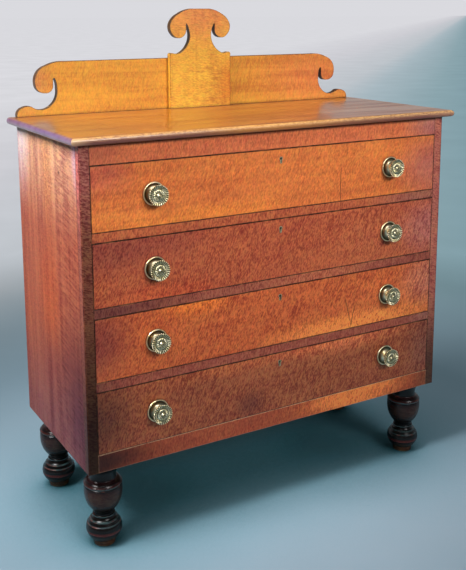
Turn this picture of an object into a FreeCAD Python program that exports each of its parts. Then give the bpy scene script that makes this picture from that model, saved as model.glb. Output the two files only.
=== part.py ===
import FreeCAD, Part
import math
import os

Vector = FreeCAD.Vector

# Chest of drawers, millimetres. X runs along the width, Y into the depth and Z up.
# The origin is on the floor, under the middle of the whole chest, knobs and top included.

# Case
case_width = 1067.0
case_depth = 442.0
case_height = 784.0
foot_height = 214.0
side_thickness = 20.0
stile_width = 25.4
stile_thickness = 19.0
top_thickness = 18.0
top_front_overhang = 23.0
top_side_overhang = 23.0
top_back_overhang = 12.0
top_edge_radius = 8.4
overrun = 5.0

# Rails between and round the drawers
drawer_count = 4
bottom_rail_height = 44.5
divider_thickness = 23.0
divider_depth = 60.0
top_rail_height = 48.5
front_rail_thickness = 24.0
tenon_thickness = 11.0
tenon_length = 8.0
tenon_shoulder = 5.0
back_rail_thickness = 18.0

# Back boards, lapped along their long edges
back_board_count = 4
back_thickness = 12.0
rabbet_width = 10.0
lap_width = 8.0

# Strips that carry and steer the drawers
runner_width = 34.0
guide_height = 20.0
kicker_height = 20.0
stop_length = 16.0
stop_height = 24.0
stop_width = 26.0

# Corner blocks and feet
block_length = 108.0
foot_inset = 57.0
foot_radius = 47.2
foot_tenon_radius = 14.0
foot_tenon_length = 20.0

# Gallery along the back of the top
gallery_thickness = 18.0
gallery_half_length = 533.0
gallery_height = 141.5
hook_width = 110.0
plaque_thickness = 17.0
plaque_half_width = 97.0
plaque_ear_height = 155.0
crest_height = 123.0
crest_half_width = 96.0
gallery_dowel_radius = 5.0
gallery_dowel_depth = 12.0
gallery_dowel_rise = 24.0
gallery_dowel_count = 6
gallery_dowel_inset = 90.0

# Drawers
front_thickness = 22.0
drawer_wall = 13.0
front_gap_above = 1.8
front_gap_below = 1.0
front_gap_side = 1.0
side_gap_below = 0.3
side_gap_above = 3.0
drawer_stop_gap = 0.3
socket_lap = 6.0
tail_count = 4
tail_root_share = 0.52
tail_slope = 0.14
drawer_bottom_thickness = 11.0
drawer_bottom_rise = 12.0
groove_height = 6.0
groove_depth = 6.0
groove_gap = 0.5
bevel_width = 42.0

# Knobs
knob_spacing = 704.0
knob_radius = 25.5
knob_projection = 35.0
plate_radius = 28.0
plate_projection = 8.0
stem_radius = 3.5
stem_gap = 0.1
nut_width = 15.0
nut_thickness = 6.0
stem_beyond_nut = 2.0

# Locks and keyholes
keyhole_drop = 24.0
keyhole_radius = 4.6
keyhole_tail_half_width = 2.6
keyhole_tail_drop = 9.5
escutcheon_wall = 1.1
escutcheon_depth = 4.0
escutcheon_stand = 0.3
lock_plate_width = 76.0
lock_plate_height = 50.0
lock_plate_thickness = 2.0
lock_case_width = 56.0
lock_case_height = 42.0
lock_case_thickness = 9.0
bolt_width = 24.0
bolt_thickness = 5.0
bolt_height = 17.0
bolt_gap = 0.2
bolt_mortise_gap = 1.5
bolt_mortise_depth = 10.0

# Half of the foot's turned outline, from its top edge down to the floor. Each pair is
# a share of the largest radius and a share of the height, and an arc names its middle first.
foot_outline_shares = [
    ("arc", (0.985, 0.017), (0.953, 0.037)),
    ("line", (0.860, 0.046)),
    ("arc", (0.745, 0.098), (0.688, 0.178)),
    ("line", (0.700, 0.194)),
    ("line", (0.735, 0.201)),
    ("arc", (0.880, 0.215), (0.962, 0.238)),
    ("arc", (1.000, 0.250), (0.965, 0.262)),
    ("line", (0.955, 0.269)),
    ("line", (0.985, 0.276)),
    ("arc", (1.000, 0.336), (0.962, 0.421)),
    ("arc", (0.868, 0.486), (0.620, 0.570)),
    ("line", (0.530, 0.612)),
    ("line", (0.530, 0.626)),
    ("arc", (0.593, 0.638), (0.551, 0.650)),
    ("arc", (0.600, 0.673), (0.690, 0.692)),
    ("line", (0.742, 0.694)),
    ("arc", (0.794, 0.717), (0.840, 0.736)),
    ("line", (0.872, 0.738)),
    ("arc", (0.938, 0.785), (0.930, 0.832)),
    ("line", (0.890, 0.841)),
    ("line", (0.890, 0.850)),
    ("arc", (0.800, 0.893), (0.660, 0.925)),
    ("line", (0.625, 0.935)),
    ("line", (0.560, 1.000)),
]
foot_top_share = 0.932

# Scrolled end of the gallery, from the tip on the top board to the straight upper edge. Each
# pair is a share of the hook's width, in from the tip, and a share of the gallery's height.
hook_outline_shares = [
    ("arc", (0.018, 0.099), (0.127, 0.170)),
    ("arc", (0.227, 0.194), (0.355, 0.184)),
    ("arc", (0.609, 0.117), (0.855, 0.198)),
    ("arc", (0.973, 0.325), (1.000, 0.495)),
    ("arc", (0.992, 0.590), (0.955, 0.678)),
    ("arc", (0.932, 0.693), (0.909, 0.678)),
    ("line", (0.905, 0.537)),
    ("arc", (0.836, 0.445), (0.700, 0.420)),
    ("arc", (0.536, 0.466), (0.464, 0.580)),
    ("arc", (0.518, 0.800), (0.736, 0.926)),
    ("arc", (0.955, 0.986), (1.227, 1.000)),
]

# Right half of the crest, from the ear up to the middle of its top. Each pair is a share
# of the crest's half width and a share of its height above the ears.
crest_outline_shares = [
    ("arc", (0.979, 0.000), (0.927, 0.004)),
    ("arc", (0.833, -0.012), (0.719, -0.010)),
    ("arc", (0.552, 0.070), (0.427, 0.190)),
    ("arc", (0.352, 0.390), (0.390, 0.545)),
    ("arc", (0.417, 0.610), (0.454, 0.660)),
    ("arc", (0.470, 0.662), (0.474, 0.650)),
    ("line", (0.474, 0.520)),
    ("arc", (0.667, 0.342), (0.906, 0.415)),
    ("arc", (1.000, 0.560), (0.969, 0.700)),
    ("arc", (0.875, 0.800), (0.708, 0.890)),
    ("arc", (0.521, 0.960), (0.292, 1.000)),
]

# Half of the knob's outline, from its neck at the plate to the middle of its face. Each
# pair is a share of the knob's radius and a share of its reach from the drawer front.
knob_outline_shares = [
    ("arc", (0.245, 0.380), (0.285, 0.530)),
    ("arc", (0.420, 0.660), (0.880, 0.735)),
    ("line", (0.960, 0.750)),
    ("arc", (1.000, 0.800), (0.960, 0.855)),
    ("arc", (0.915, 0.865), (0.870, 0.840)),
    ("arc", (0.640, 0.790), (0.430, 0.830)),
    ("arc", (0.395, 0.870), (0.360, 0.830)),
    ("line", (0.300, 0.830)),
    ("arc", (0.240, 0.955), (0.080, 1.000)),
    ("line", (0.000, 0.970)),
]
knob_neck_share = 0.290

# Half of the plate's outline, from its rim to its middle. Each pair is a share of the
# plate's radius and a share of its own height.
plate_outline_shares = [
    ("line", (1.000, 0.200)),
    ("arc", (0.970, 0.340), (0.925, 0.340)),
    ("arc", (0.880, 0.300), (0.845, 0.210)),
    ("arc", (0.640, 0.250), (0.480, 0.420)),
    ("arc", (0.400, 0.760), (0.270, 1.000)),
]

# Places worked out from the sizes above
half_width = case_width / 2
inner_half = half_width - side_thickness
opening_half = half_width - stile_width
front_y = (knob_projection - case_depth - top_back_overhang) / 2
back_y = front_y + case_depth
back_inner_y = back_y - back_thickness
runner_end_y = back_inner_y - back_rail_thickness
drawer_rear_y = runner_end_y - stop_length
front_inner_y = front_y + front_thickness
case_bottom = foot_height
case_top = case_bottom + case_height
rails_total = bottom_rail_height + top_rail_height + (drawer_count - 1) * divider_thickness
opening_height = (case_height - rails_total) / drawer_count
drawer_pitch = opening_height + divider_thickness
top_surface = case_top + top_thickness
gallery_front_y = back_y + top_back_overhang - gallery_thickness
plaque_front_y = gallery_front_y - plaque_thickness
drawer_half = opening_half - front_gap_side
drawer_inner_half = drawer_half - drawer_wall
front_height = opening_height - front_gap_above - front_gap_below
drawer_names = ["top", "second", "third", "bottom"]
divider_names = ["upper", "middle", "lower"]


def opening_floor(index):
    """Height of the floor of one drawer's opening, counted from the top drawer down."""
    rise = (drawer_count - 1 - index) * drawer_pitch
    return case_bottom + bottom_rail_height + rise


# Shape helpers
def box(x_ends, y_ends, z_ends):
    size = [high - low for low, high in (x_ends, y_ends, z_ends)]
    corner = Vector(x_ends[0], y_ends[0], z_ends[0])
    return Part.makeBox(size[0], size[1], size[2], corner)


def both_sides(shape):
    mirror = shape.mirror(Vector(0, 0, 0), Vector(1, 0, 0))
    return [shape, mirror]


def outline_edges(start, steps, place):
    """Lines and arcs from start through each step, with place turning a share into a point."""
    edges = []
    here = start
    for step in steps:
        there = place(*step[-1])
        if step[0] == "arc":
            edges.append(Part.Arc(here, place(*step[1]), there).toShape())
        else:
            edges.append(Part.LineSegment(here, there).toShape())
        here = there
    return edges, here


def closed_face(edges, corners):
    """Close a chain of edges through the corner points and back to where it began."""
    first = edges[0].Vertexes[0].Point
    last = edges[-1].Vertexes[-1].Point
    stops = [last] + corners + [first]
    lines = [Part.LineSegment(a, b).toShape() for a, b in zip(stops, stops[1:])]
    return Part.Face(Part.Wire(edges + lines))


def prism(points, direction):
    ring = points + [points[0]]
    return Part.Face(Part.makePolygon(ring)).extrude(direction)


def cylinder_y(radius, x, z, y_ends):
    length = y_ends[1] - y_ends[0]
    return Part.makeCylinder(radius, length, Vector(x, y_ends[0], z), Vector(0, 1, 0))


# Case
def rail(z_ends, depth):
    """One rail across the front, filling in behind the stiles, with a tenon at each end."""
    shoulder = box((-opening_half, opening_half), (front_y, front_y + depth), z_ends)
    behind_ends = (front_y + stile_thickness, front_y + depth)
    behind = box((-inner_half, inner_half), behind_ends, z_ends)
    return shoulder.fuse([behind, rail_tenon(z_ends, depth)]).removeSplitter()


def rail_tenon(z_ends, depth):
    reach = inner_half + tenon_length
    margin = (z_ends[1] - z_ends[0] - tenon_thickness) / 2
    if margin > tenon_thickness:
        margin = tenon_shoulder
    y_ends = (front_y + tenon_shoulder, front_y + depth - tenon_shoulder)
    return box((-reach, reach), y_ends, (z_ends[0] + margin, z_ends[1] - margin))


def rail_spans():
    """Every front rail's name, its two heights and its depth."""
    spans = {"bottom_rail": ((case_bottom, case_bottom + bottom_rail_height), front_rail_thickness)}
    for index, name in enumerate(divider_names):
        floor = opening_floor(index)
        spans[name + "_divider"] = ((floor - divider_thickness, floor), divider_depth)
    spans["top_rail"] = ((case_top - top_rail_height, case_top), front_rail_thickness)
    return spans


def bolt_mortises():
    """Slots over each drawer that its lock's bolt would rise into."""
    slots = []
    half = bolt_width / 2 + bolt_mortise_gap
    near = bolt_front_y() - bolt_mortise_gap
    far = bolt_front_y() + bolt_thickness + bolt_mortise_gap
    for index in range(drawer_count):
        ceiling = opening_floor(index) + opening_height
        z_ends = (ceiling - overrun, ceiling + bolt_mortise_depth)
        slots.append(box((-half, half), (near, far), z_ends))
    return slots


def front_rails():
    rails = {}
    slots = bolt_mortises()
    for name, (z_ends, depth) in rail_spans().items():
        rails[name] = rail(z_ends, depth).cut(slots)
    return rails


def case_sides():
    """Side board, grooved for the tenons and rabbeted behind for the back boards."""
    y_ends = (front_y + stile_thickness, back_y)
    board = box((inner_half, half_width), y_ends, (case_bottom, case_top))
    rabbet_x = (inner_half - overrun, inner_half + rabbet_width)
    rabbet_z = (case_bottom - overrun, case_top + overrun)
    rabbet = box(rabbet_x, (back_inner_y, back_y + overrun), rabbet_z)
    tenons = [rail_tenon(z_ends, depth) for z_ends, depth in rail_spans().values()]
    return both_sides(board.cut([rabbet] + tenons))


def case_stiles():
    y_ends = (front_y, front_y + stile_thickness)
    strip = box((opening_half, half_width), y_ends, (case_bottom, case_top))
    tenons = [rail_tenon(z_ends, depth) for z_ends, depth in rail_spans().values()]
    return both_sides(strip.cut(tenons))


def top_board():
    """One board with rounded front and ends, and a square back edge."""
    x_end = half_width + top_side_overhang
    y_ends = (front_y - top_front_overhang, back_y + top_back_overhang)
    board = box((-x_end, x_end), y_ends, (case_top, top_surface))
    rounded = []
    for edge in board.Edges:
        middle = edge.CenterOfMass
        level = edge.BoundBox.ZLength < top_edge_radius
        if level and middle.y < y_ends[1] - top_edge_radius:
            rounded.append(edge)
    return board.makeFillet(top_edge_radius, rounded).cut(gallery_dowels())


def back_boards():
    """Boards one above the other, each lapped over the one below."""
    reach = inner_half + rabbet_width
    height = case_height / back_board_count
    middle_y = back_inner_y + back_thickness / 2
    boards = []
    for index in range(back_board_count):
        low = case_bottom + index * height
        front_low = low - lap_width if index > 0 else low
        front_high = low + height
        if index < back_board_count - 1:
            front_high = front_high - lap_width
        inner = box((-reach, reach), (back_inner_y, middle_y), (front_low, front_high))
        outer = box((-reach, reach), (middle_y, back_y), (low, low + height))
        boards.append(inner.fuse(outer).removeSplitter())
    return boards


def back_rail():
    y_ends = (runner_end_y, back_inner_y)
    z_ends = (case_bottom, case_bottom + bottom_rail_height)
    return box((-inner_half, inner_half), y_ends, z_ends)


def drawer_runners():
    strips = []
    x_ends = (inner_half - runner_width, inner_half)
    for index in range(drawer_count):
        lowest = index == drawer_count - 1
        near = front_y + (front_rail_thickness if lowest else divider_depth)
        floor = opening_floor(index)
        strip = box(x_ends, (near, runner_end_y), (floor - divider_thickness, floor))
        strips.extend(both_sides(strip))
    return strips


def drawer_guides():
    strips = []
    y_ends = (front_y + stile_thickness, runner_end_y)
    for index in range(drawer_count):
        floor = opening_floor(index)
        strip = box((opening_half, inner_half), y_ends, (floor, floor + guide_height))
        strips.extend(both_sides(strip))
    return strips


def drawer_kickers():
    ceiling = opening_floor(0) + opening_height
    y_ends = (front_y + front_rail_thickness, back_inner_y)
    strip = box((inner_half - runner_width, inner_half), y_ends, (ceiling, ceiling + kicker_height))
    return both_sides(strip)


def drawer_stops():
    blocks = []
    y_ends = (drawer_rear_y + drawer_stop_gap, runner_end_y)
    x_ends = (opening_half - stop_width, opening_half)
    for index in range(drawer_count):
        floor = opening_floor(index)
        block = box(x_ends, y_ends, (floor, floor + stop_height))
        blocks.extend(both_sides(block))
    return blocks


def foot_axes():
    """The four feet's centres, left before right and front before back."""
    x = half_width - foot_inset
    near = front_y + foot_inset
    far = back_y - foot_inset
    return [(-x, near), (x, near), (-x, far), (x, far)]


def foot_blocks():
    x_ends = (inner_half - block_length, inner_half)
    z_ends = (case_bottom, case_bottom + bottom_rail_height - divider_thickness)
    near = front_y + front_rail_thickness
    blocks = both_sides(box(x_ends, (near, near + block_length), z_ends))
    blocks += both_sides(box(x_ends, (runner_end_y - block_length, runner_end_y), z_ends))
    tenons = [foot_tenon(x, y) for x, y in foot_axes()]
    return [block.cut(tenons) for block in blocks]


def foot_tenon(x, y):
    return Part.makeCylinder(foot_tenon_radius, foot_tenon_length, Vector(x, y, case_bottom))


def turned_foot(x, y):
    """Foot turned about its own axis, with a round tenon on top."""
    def place(radius_share, height_share):
        return Vector(radius_share * foot_radius, 0, foot_height * (1 - height_share))

    edges, _ = outline_edges(place(foot_top_share, 0), foot_outline_shares, place)
    half = closed_face(edges, [Vector(0, 0, 0), Vector(0, 0, foot_height)])
    body = half.revolve(Vector(0, 0, 0), Vector(0, 0, 1), 360)
    body.translate(Vector(x, y, 0))
    return body.fuse(foot_tenon(x, y))


# Gallery
def gallery_dowels():
    """Dowels that stand in the top board and hold the gallery up."""
    end = gallery_half_length - gallery_dowel_inset
    gap = 2 * end / (gallery_dowel_count - 1)
    y = gallery_front_y + gallery_thickness / 2
    dowels = []
    for index in range(gallery_dowel_count):
        foot = Vector(index * gap - end, y, top_surface - gallery_dowel_depth)
        length = gallery_dowel_depth + gallery_dowel_rise
        dowels.append(Part.makeCylinder(gallery_dowel_radius, length, foot))
    return dowels


def gallery_board():
    """Long board with a hooked scroll and a small curled foot at each end."""
    def place_right(across_share, height_share):
        x = gallery_half_length - across_share * hook_width
        return Vector(x, gallery_front_y, top_surface + height_share * gallery_height)

    edges, last = outline_edges(place_right(0, 0), hook_outline_shares, place_right)
    corners = [Vector(0, last.y, last.z), Vector(0, last.y, top_surface)]
    half = closed_face(edges, corners).extrude(Vector(0, gallery_thickness, 0))
    right, left = both_sides(half)
    return right.fuse(left).removeSplitter().cut(gallery_dowels())


def gallery_plaque():
    """Board on the gallery's front, rising to a crest of two scrolls."""
    ear_z = top_surface + plaque_ear_height

    def place(across_share, height_share):
        x = across_share * crest_half_width
        return Vector(x, plaque_front_y, ear_z + height_share * crest_height)

    corner_drop = plaque_half_width - crest_half_width * crest_outline_shares[0][-1][0]
    start = Vector(plaque_half_width, plaque_front_y, ear_z - corner_drop)
    edges, last = outline_edges(start, crest_outline_shares, place)
    middle = [Vector(0, last.y, last.z), Vector(0, last.y, top_surface)]
    corner = Vector(plaque_half_width, plaque_front_y, top_surface)
    half = closed_face(edges, middle + [corner]).extrude(Vector(0, plaque_thickness, 0))
    right, left = both_sides(half)
    return right.fuse(left).removeSplitter()


# Drawer woodwork, made once for an opening whose floor is at height zero
def tail_heights():
    """Middle height of each dovetail, evenly spaced up the drawer front."""
    pitch = front_height / tail_count
    return [front_gap_below + (index + 0.5) * pitch for index in range(tail_count)]


def tail_row(x_ends, root_y, tip_y):
    """Dovetails in one drawer side's end, each wider at its tip than at its root."""
    length = abs(tip_y - root_y)
    root_half = front_height / tail_count * tail_root_share / 2
    tip_half = root_half + tail_slope * length
    tails = []
    for z in tail_heights():
        corners = [
            Vector(x_ends[0], root_y, z - root_half),
            Vector(x_ends[0], root_y, z + root_half),
            Vector(x_ends[0], tip_y, z + tip_half),
            Vector(x_ends[0], tip_y, z - tip_half),
        ]
        tails.append(prism(corners, Vector(x_ends[1] - x_ends[0], 0, 0)))
    return tails


def front_tails(x_ends):
    return tail_row(x_ends, front_inner_y, front_y + socket_lap)


def rear_tails(x_ends):
    return tail_row(x_ends, drawer_rear_y - drawer_wall, drawer_rear_y)


def bottom_groove():
    reach = drawer_inner_half + groove_depth
    y_ends = (front_inner_y - groove_depth, drawer_rear_y + overrun)
    return box((-reach, reach), y_ends, (drawer_bottom_rise, drawer_bottom_rise + groove_height))


def drawer_side():
    """Side board with tails at both ends and a groove for the bottom."""
    x_ends = (drawer_inner_half, drawer_half)
    z_high = opening_height - side_gap_above
    board = box(x_ends, (front_inner_y, drawer_rear_y), (side_gap_below, z_high))
    back_low = drawer_bottom_rise + groove_height
    pins = box(x_ends, (drawer_rear_y - drawer_wall, drawer_rear_y), (back_low, z_high))
    pins = pins.cut(rear_tails(x_ends))
    side = board.cut(pins).fuse(front_tails(x_ends)).removeSplitter()
    return side.cut(bottom_groove())


def drawer_back():
    """Back board that stands on the drawer bottom, notched for the sides' tails."""
    y_ends = (drawer_rear_y - drawer_wall, drawer_rear_y)
    z_ends = (drawer_bottom_rise + groove_height, opening_height - side_gap_above)
    board = box((-drawer_half, drawer_half), y_ends, z_ends)
    right = rear_tails((drawer_inner_half, drawer_half))
    left = rear_tails((-drawer_half, -drawer_inner_half))
    return board.cut(right + left)


def drawer_bottom():
    """Board bevelled under its front and end edges so that they fit the grooves."""
    reach = drawer_inner_half + groove_depth - groove_gap
    near = front_inner_y - groove_depth + groove_gap
    top = drawer_bottom_rise + groove_height
    low = top - drawer_bottom_thickness
    mouth = drawer_inner_half
    board = box((-reach, reach), (near, drawer_rear_y), (low, top))
    end = [
        Vector(reach + overrun, near - overrun, low - overrun),
        Vector(reach + overrun, near - overrun, drawer_bottom_rise),
        Vector(mouth, near - overrun, drawer_bottom_rise),
        Vector(mouth - bevel_width, near - overrun, low),
        Vector(mouth - bevel_width, near - overrun, low - overrun),
    ]
    run = Vector(0, drawer_rear_y - near + 2 * overrun, 0)
    front = [
        Vector(-reach - overrun, near - overrun, low - overrun),
        Vector(-reach - overrun, near - overrun, drawer_bottom_rise),
        Vector(-reach - overrun, front_inner_y, drawer_bottom_rise),
        Vector(-reach - overrun, front_inner_y + bevel_width, low),
        Vector(-reach - overrun, front_inner_y + bevel_width, low - overrun),
    ]
    across = Vector(2 * reach + 2 * overrun, 0, 0)
    return board.cut(both_sides(prism(end, run)) + [prism(front, across)])


def keyhole(shrink, y_ends):
    """Round hole with a straight tail below it, made smaller all round by shrink."""
    z = front_top() - keyhole_drop
    half = keyhole_tail_half_width - shrink
    tail_z = z - keyhole_tail_drop
    head = cylinder_y(keyhole_radius - shrink, 0, z, y_ends)
    tail = box((-half, half), y_ends, (tail_z, z))
    end = cylinder_y(half, 0, tail_z, y_ends)
    return head.fuse([tail, end]).removeSplitter()


def front_top():
    return opening_height - front_gap_above


def knob_places():
    z = front_gap_below + front_height / 2
    return [(-knob_spacing / 2, z), (knob_spacing / 2, z)]


def drawer_front():
    """Flush front with dovetail sockets, a groove, and seats for the lock and knobs."""
    z_ends = (front_gap_below, front_top())
    board = box((-drawer_half, drawer_half), (front_y, front_inner_y), z_ends)
    sockets = front_tails((drawer_inner_half, drawer_half))
    sockets += front_tails((-drawer_half, -drawer_inner_half))
    through = (front_y - overrun, front_inner_y + overrun)
    stems = [cylinder_y(stem_radius + stem_gap, x, z, through) for x, z in knob_places()]
    ring = keyhole(0, (front_y - overrun, front_y + escutcheon_depth))
    hole = keyhole(escutcheon_wall, through)
    return board.cut(sockets + [bottom_groove()] + stems + [ring, hole] + lock_boxes())


# Drawer hardware
def lock_boxes():
    """The lock's back plate, its case and the plate let into the front's upper edge."""
    top = front_top()
    plate_half = lock_plate_width / 2
    case_half = lock_case_width / 2
    plate_y = front_inner_y - lock_plate_thickness
    case_y = plate_y - lock_case_thickness
    plate = box((-plate_half, plate_half), (plate_y, front_inner_y), (top - lock_plate_height, top))
    case = box((-case_half, case_half), (case_y, plate_y), (top - lock_case_height, top))
    z_ends = (top - lock_plate_thickness, top)
    selvage = box((-plate_half, plate_half), (case_y, front_inner_y), z_ends)
    return [plate, case, selvage]


def bolt_front_y():
    middle = front_inner_y - lock_plate_thickness - lock_case_thickness / 2
    return middle - bolt_thickness / 2


def lock():
    """Iron lock case with its bolt drawn in, flush with the upper plate."""
    plate, case, selvage = lock_boxes()
    top = front_top()
    near = bolt_front_y()
    half = bolt_width / 2
    floor = top - bolt_height
    bolt = box((-half, half), (near, near + bolt_thickness), (floor, top))
    slot_y = (near - bolt_gap, near + bolt_thickness + bolt_gap)
    slot = box((-half - bolt_gap, half + bolt_gap), slot_y, (floor, top + overrun))
    plate_y = front_inner_y - lock_plate_thickness
    hole = keyhole(escutcheon_wall, (front_y, plate_y))
    body = plate.fuse([case, selvage]).removeSplitter().cut([slot, hole])
    return [body, bolt]


def escutcheon():
    y_ends = (front_y - escutcheon_stand, front_y + escutcheon_depth)
    return keyhole(0, y_ends).cut(keyhole(escutcheon_wall, (front_y - overrun, front_inner_y)))


def turned_outward(steps, radius, reach, start_share, floor):
    """Turn an outline about an axis that points out of the drawer front."""
    def place(radius_share, reach_share):
        return Vector(radius_share * radius, -reach_share * reach, 0)

    start = Vector(start_share * radius, -floor, 0)
    edges, last = outline_edges(start, steps, place)
    corners = [] if last.x == 0 else [Vector(0, last.y, 0)]
    half = closed_face(edges, corners + [Vector(0, -floor, 0)])
    return half.revolve(Vector(0, 0, 0), Vector(0, 1, 0), 360)


def knob_plate(x, z):
    steps = plate_outline_shares
    plate = turned_outward(steps, plate_radius, plate_projection, steps[0][-1][0], 0)
    plate.translate(Vector(x, front_y, z))
    bore = cylinder_y(stem_radius + stem_gap, x, z, (front_y - plate_projection - overrun, front_y))
    return plate.cut(bore)


def knob(x, z):
    """Hollow-faced knob on a neck, with a stem that runs through the drawer front."""
    steps = knob_outline_shares
    head = turned_outward(steps, knob_radius, knob_projection, knob_neck_share, plate_projection)
    head.translate(Vector(x, front_y, z))
    stem_end = front_inner_y + nut_thickness + stem_beyond_nut
    stem = cylinder_y(stem_radius, x, z, (front_y - plate_projection - stem_radius, stem_end))
    return head.fuse(stem)


def knob_nut(x, z):
    half = nut_width / 2
    y_ends = (front_inner_y, front_inner_y + nut_thickness)
    block = box((x - half, x + half), y_ends, (z - half, z + half))
    bore = cylinder_y(stem_radius + stem_gap, x, z, (y_ends[0] - overrun, y_ends[1] + overrun))
    return block.cut(bore)


def drawer_pieces():
    """Every piece of one drawer, named by what follows the drawer's own name."""
    right, left = both_sides(drawer_side())
    knobs = [knob(x, z) for x, z in knob_places()]
    nuts = [knob_nut(x, z) for x, z in knob_places()]
    return {
        "front": [drawer_front()],
        "left_side": [left],
        "right_side": [right],
        "back": [drawer_back()],
        "bottom": [drawer_bottom()],
        "knobs": knobs + nuts,
        "knob_plates": [knob_plate(x, z) for x, z in knob_places()],
        "lock": lock(),
        "escutcheon": [escutcheon()],
    }


# All pieces, one file for each node
def case_pieces():
    right_side, left_side = case_sides()
    right_stile, left_stile = case_stiles()
    pieces = {
        "top_board": [top_board()],
        "left_side": [left_side],
        "right_side": [right_side],
        "left_stile": [left_stile],
        "right_stile": [right_stile],
        "back_rail": [back_rail()],
        "back_boards": back_boards(),
        "drawer_runners": drawer_runners(),
        "drawer_guides": drawer_guides(),
        "drawer_kickers": drawer_kickers(),
        "drawer_stops": drawer_stops(),
        "foot_blocks": foot_blocks(),
        "gallery_board": [gallery_board()],
        "gallery_plaque": [gallery_plaque()],
        "gallery_dowels": gallery_dowels(),
    }
    for name, shape in front_rails().items():
        pieces[name] = [shape]
    foot_names = ["front_left_foot", "front_right_foot", "back_left_foot", "back_right_foot"]
    for name, (x, y) in zip(foot_names, foot_axes()):
        pieces[name] = [turned_foot(x, y)]
    return pieces


def save(name, solids):
    shape = solids[0] if len(solids) == 1 else Part.makeCompound(solids)
    shape.exportStep(os.path.join("parts", name + ".step"))
    volume = sum(solid.Volume for solid in solids)
    print(name, len(shape.Solids), "solids", round(volume), "cubic mm", shape.isValid())


def build():
    os.makedirs("parts", exist_ok=True)
    for name, solids in case_pieces().items():
        save(name, solids)
    drawer = drawer_pieces()
    for index, drawer_name in enumerate(drawer_names):
        lift = Vector(0, 0, opening_floor(index))
        for name, solids in drawer.items():
            save(drawer_name + "_drawer_" + name, [solid.translated(lift) for solid in solids])


build()
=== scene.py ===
# %% [markdown]
# # A country chest of drawers in figured maple
# This notebook dresses a finished CAD model: four drawers on turned feet, with a scrolled gallery along the back
# of the top. The CAD parts keep their shapes and their places. What is made here is what a photograph shows
# beyond them: varnished maple, stamped brass, the floor and the light. The first cell loads the parts, and the
# last cell writes down the size of the visual model.

# %% Load the parts
import math

import bmesh
import bpy
from mathutils import Matrix, Vector


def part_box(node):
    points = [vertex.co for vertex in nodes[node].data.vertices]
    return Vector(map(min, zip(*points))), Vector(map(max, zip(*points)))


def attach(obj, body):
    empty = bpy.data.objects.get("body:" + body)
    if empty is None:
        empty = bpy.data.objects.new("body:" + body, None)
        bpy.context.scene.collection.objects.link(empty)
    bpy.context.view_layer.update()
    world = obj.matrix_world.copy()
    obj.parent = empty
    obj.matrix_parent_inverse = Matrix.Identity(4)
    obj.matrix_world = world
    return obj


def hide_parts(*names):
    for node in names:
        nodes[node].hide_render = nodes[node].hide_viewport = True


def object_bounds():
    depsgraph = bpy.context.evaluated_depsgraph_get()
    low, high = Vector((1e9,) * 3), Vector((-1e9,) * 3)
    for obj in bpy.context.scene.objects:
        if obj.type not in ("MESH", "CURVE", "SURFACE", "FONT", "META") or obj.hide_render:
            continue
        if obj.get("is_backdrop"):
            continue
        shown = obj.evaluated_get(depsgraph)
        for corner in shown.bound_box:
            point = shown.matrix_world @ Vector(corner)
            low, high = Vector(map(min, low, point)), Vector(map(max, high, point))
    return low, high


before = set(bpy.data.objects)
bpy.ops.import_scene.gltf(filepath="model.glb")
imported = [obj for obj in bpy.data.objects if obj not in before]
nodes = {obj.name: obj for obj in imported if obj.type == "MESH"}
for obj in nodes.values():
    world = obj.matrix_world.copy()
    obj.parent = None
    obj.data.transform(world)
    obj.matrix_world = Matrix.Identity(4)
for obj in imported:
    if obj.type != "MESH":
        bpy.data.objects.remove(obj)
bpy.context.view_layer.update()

# %% [markdown]
# ## Sizes that several steps need
# Lengths are read from the CAD parts where a part gives them, so that a change of the model
# carries through. One millimetre has a name of its own, because every pattern below is sized
# in millimetres and Blender counts in metres.

# %% Read a few places from the parts
mm = 0.001
front_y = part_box("left_stile")[0].y
top_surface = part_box("top_board")[1].z
drawer_names = ["top", "second", "third", "bottom"]
print("front plane at", round(front_y, 4), "and top at", round(top_surface, 4))

# %% [markdown]
# ## Helpers for every material
# A paint card gives a colour as an sRGB hex code, and Blender's sockets take linear light, so one function turns
# the first into the second. Another adds one node to a material: its settings come in one table, and the sockets
# that feed it in another. Dirt gathers wherever two pieces meet, on wood and brass, and shade falls in the same
# places. Both could be painted on by hand, but ambient occlusion finds such places by itself. So a third
# function darkens any colour there: as dirt and painted shade on wood and brass, and as painted shade alone on
# the paper.


# %% Colours and nodes
def linear(code):
    """The hex colour as linear red, green, blue and alpha."""
    channels = [int(code[i:i + 2], 16) / 255 for i in (1, 3, 5)]
    return [c / 12.92 if c <= 0.04045 else ((c + 0.055) / 1.055) ** 2.4 for c in channels] + [1]


def add(material, kind, settings=None, links=None):
    """One more node in the material. A setting names a socket, a property or the ramp's stops."""
    node = material.node_tree.nodes.new(kind)
    for name, value in (settings or {}).items():
        if name == "stops":
            while len(node.color_ramp.elements) < len(value):
                node.color_ramp.elements.new(0.5)
            for element, (position, code) in zip(node.color_ramp.elements, value):
                element.position = position
                element.color = linear(code) if isinstance(code, str) else code
        elif isinstance(name, int) or name in node.inputs:
            node.inputs[name].default_value = value
        else:
            setattr(node, name, value)
    for name, source in (links or {}).items():
        material.node_tree.links.new(source, node.inputs[name])
    return node


def fresh(name):
    """An empty material, ready for its nodes."""
    material = bpy.data.materials.new(name)
    material.use_nodes = True
    material.node_tree.nodes.clear()
    return material


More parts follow.
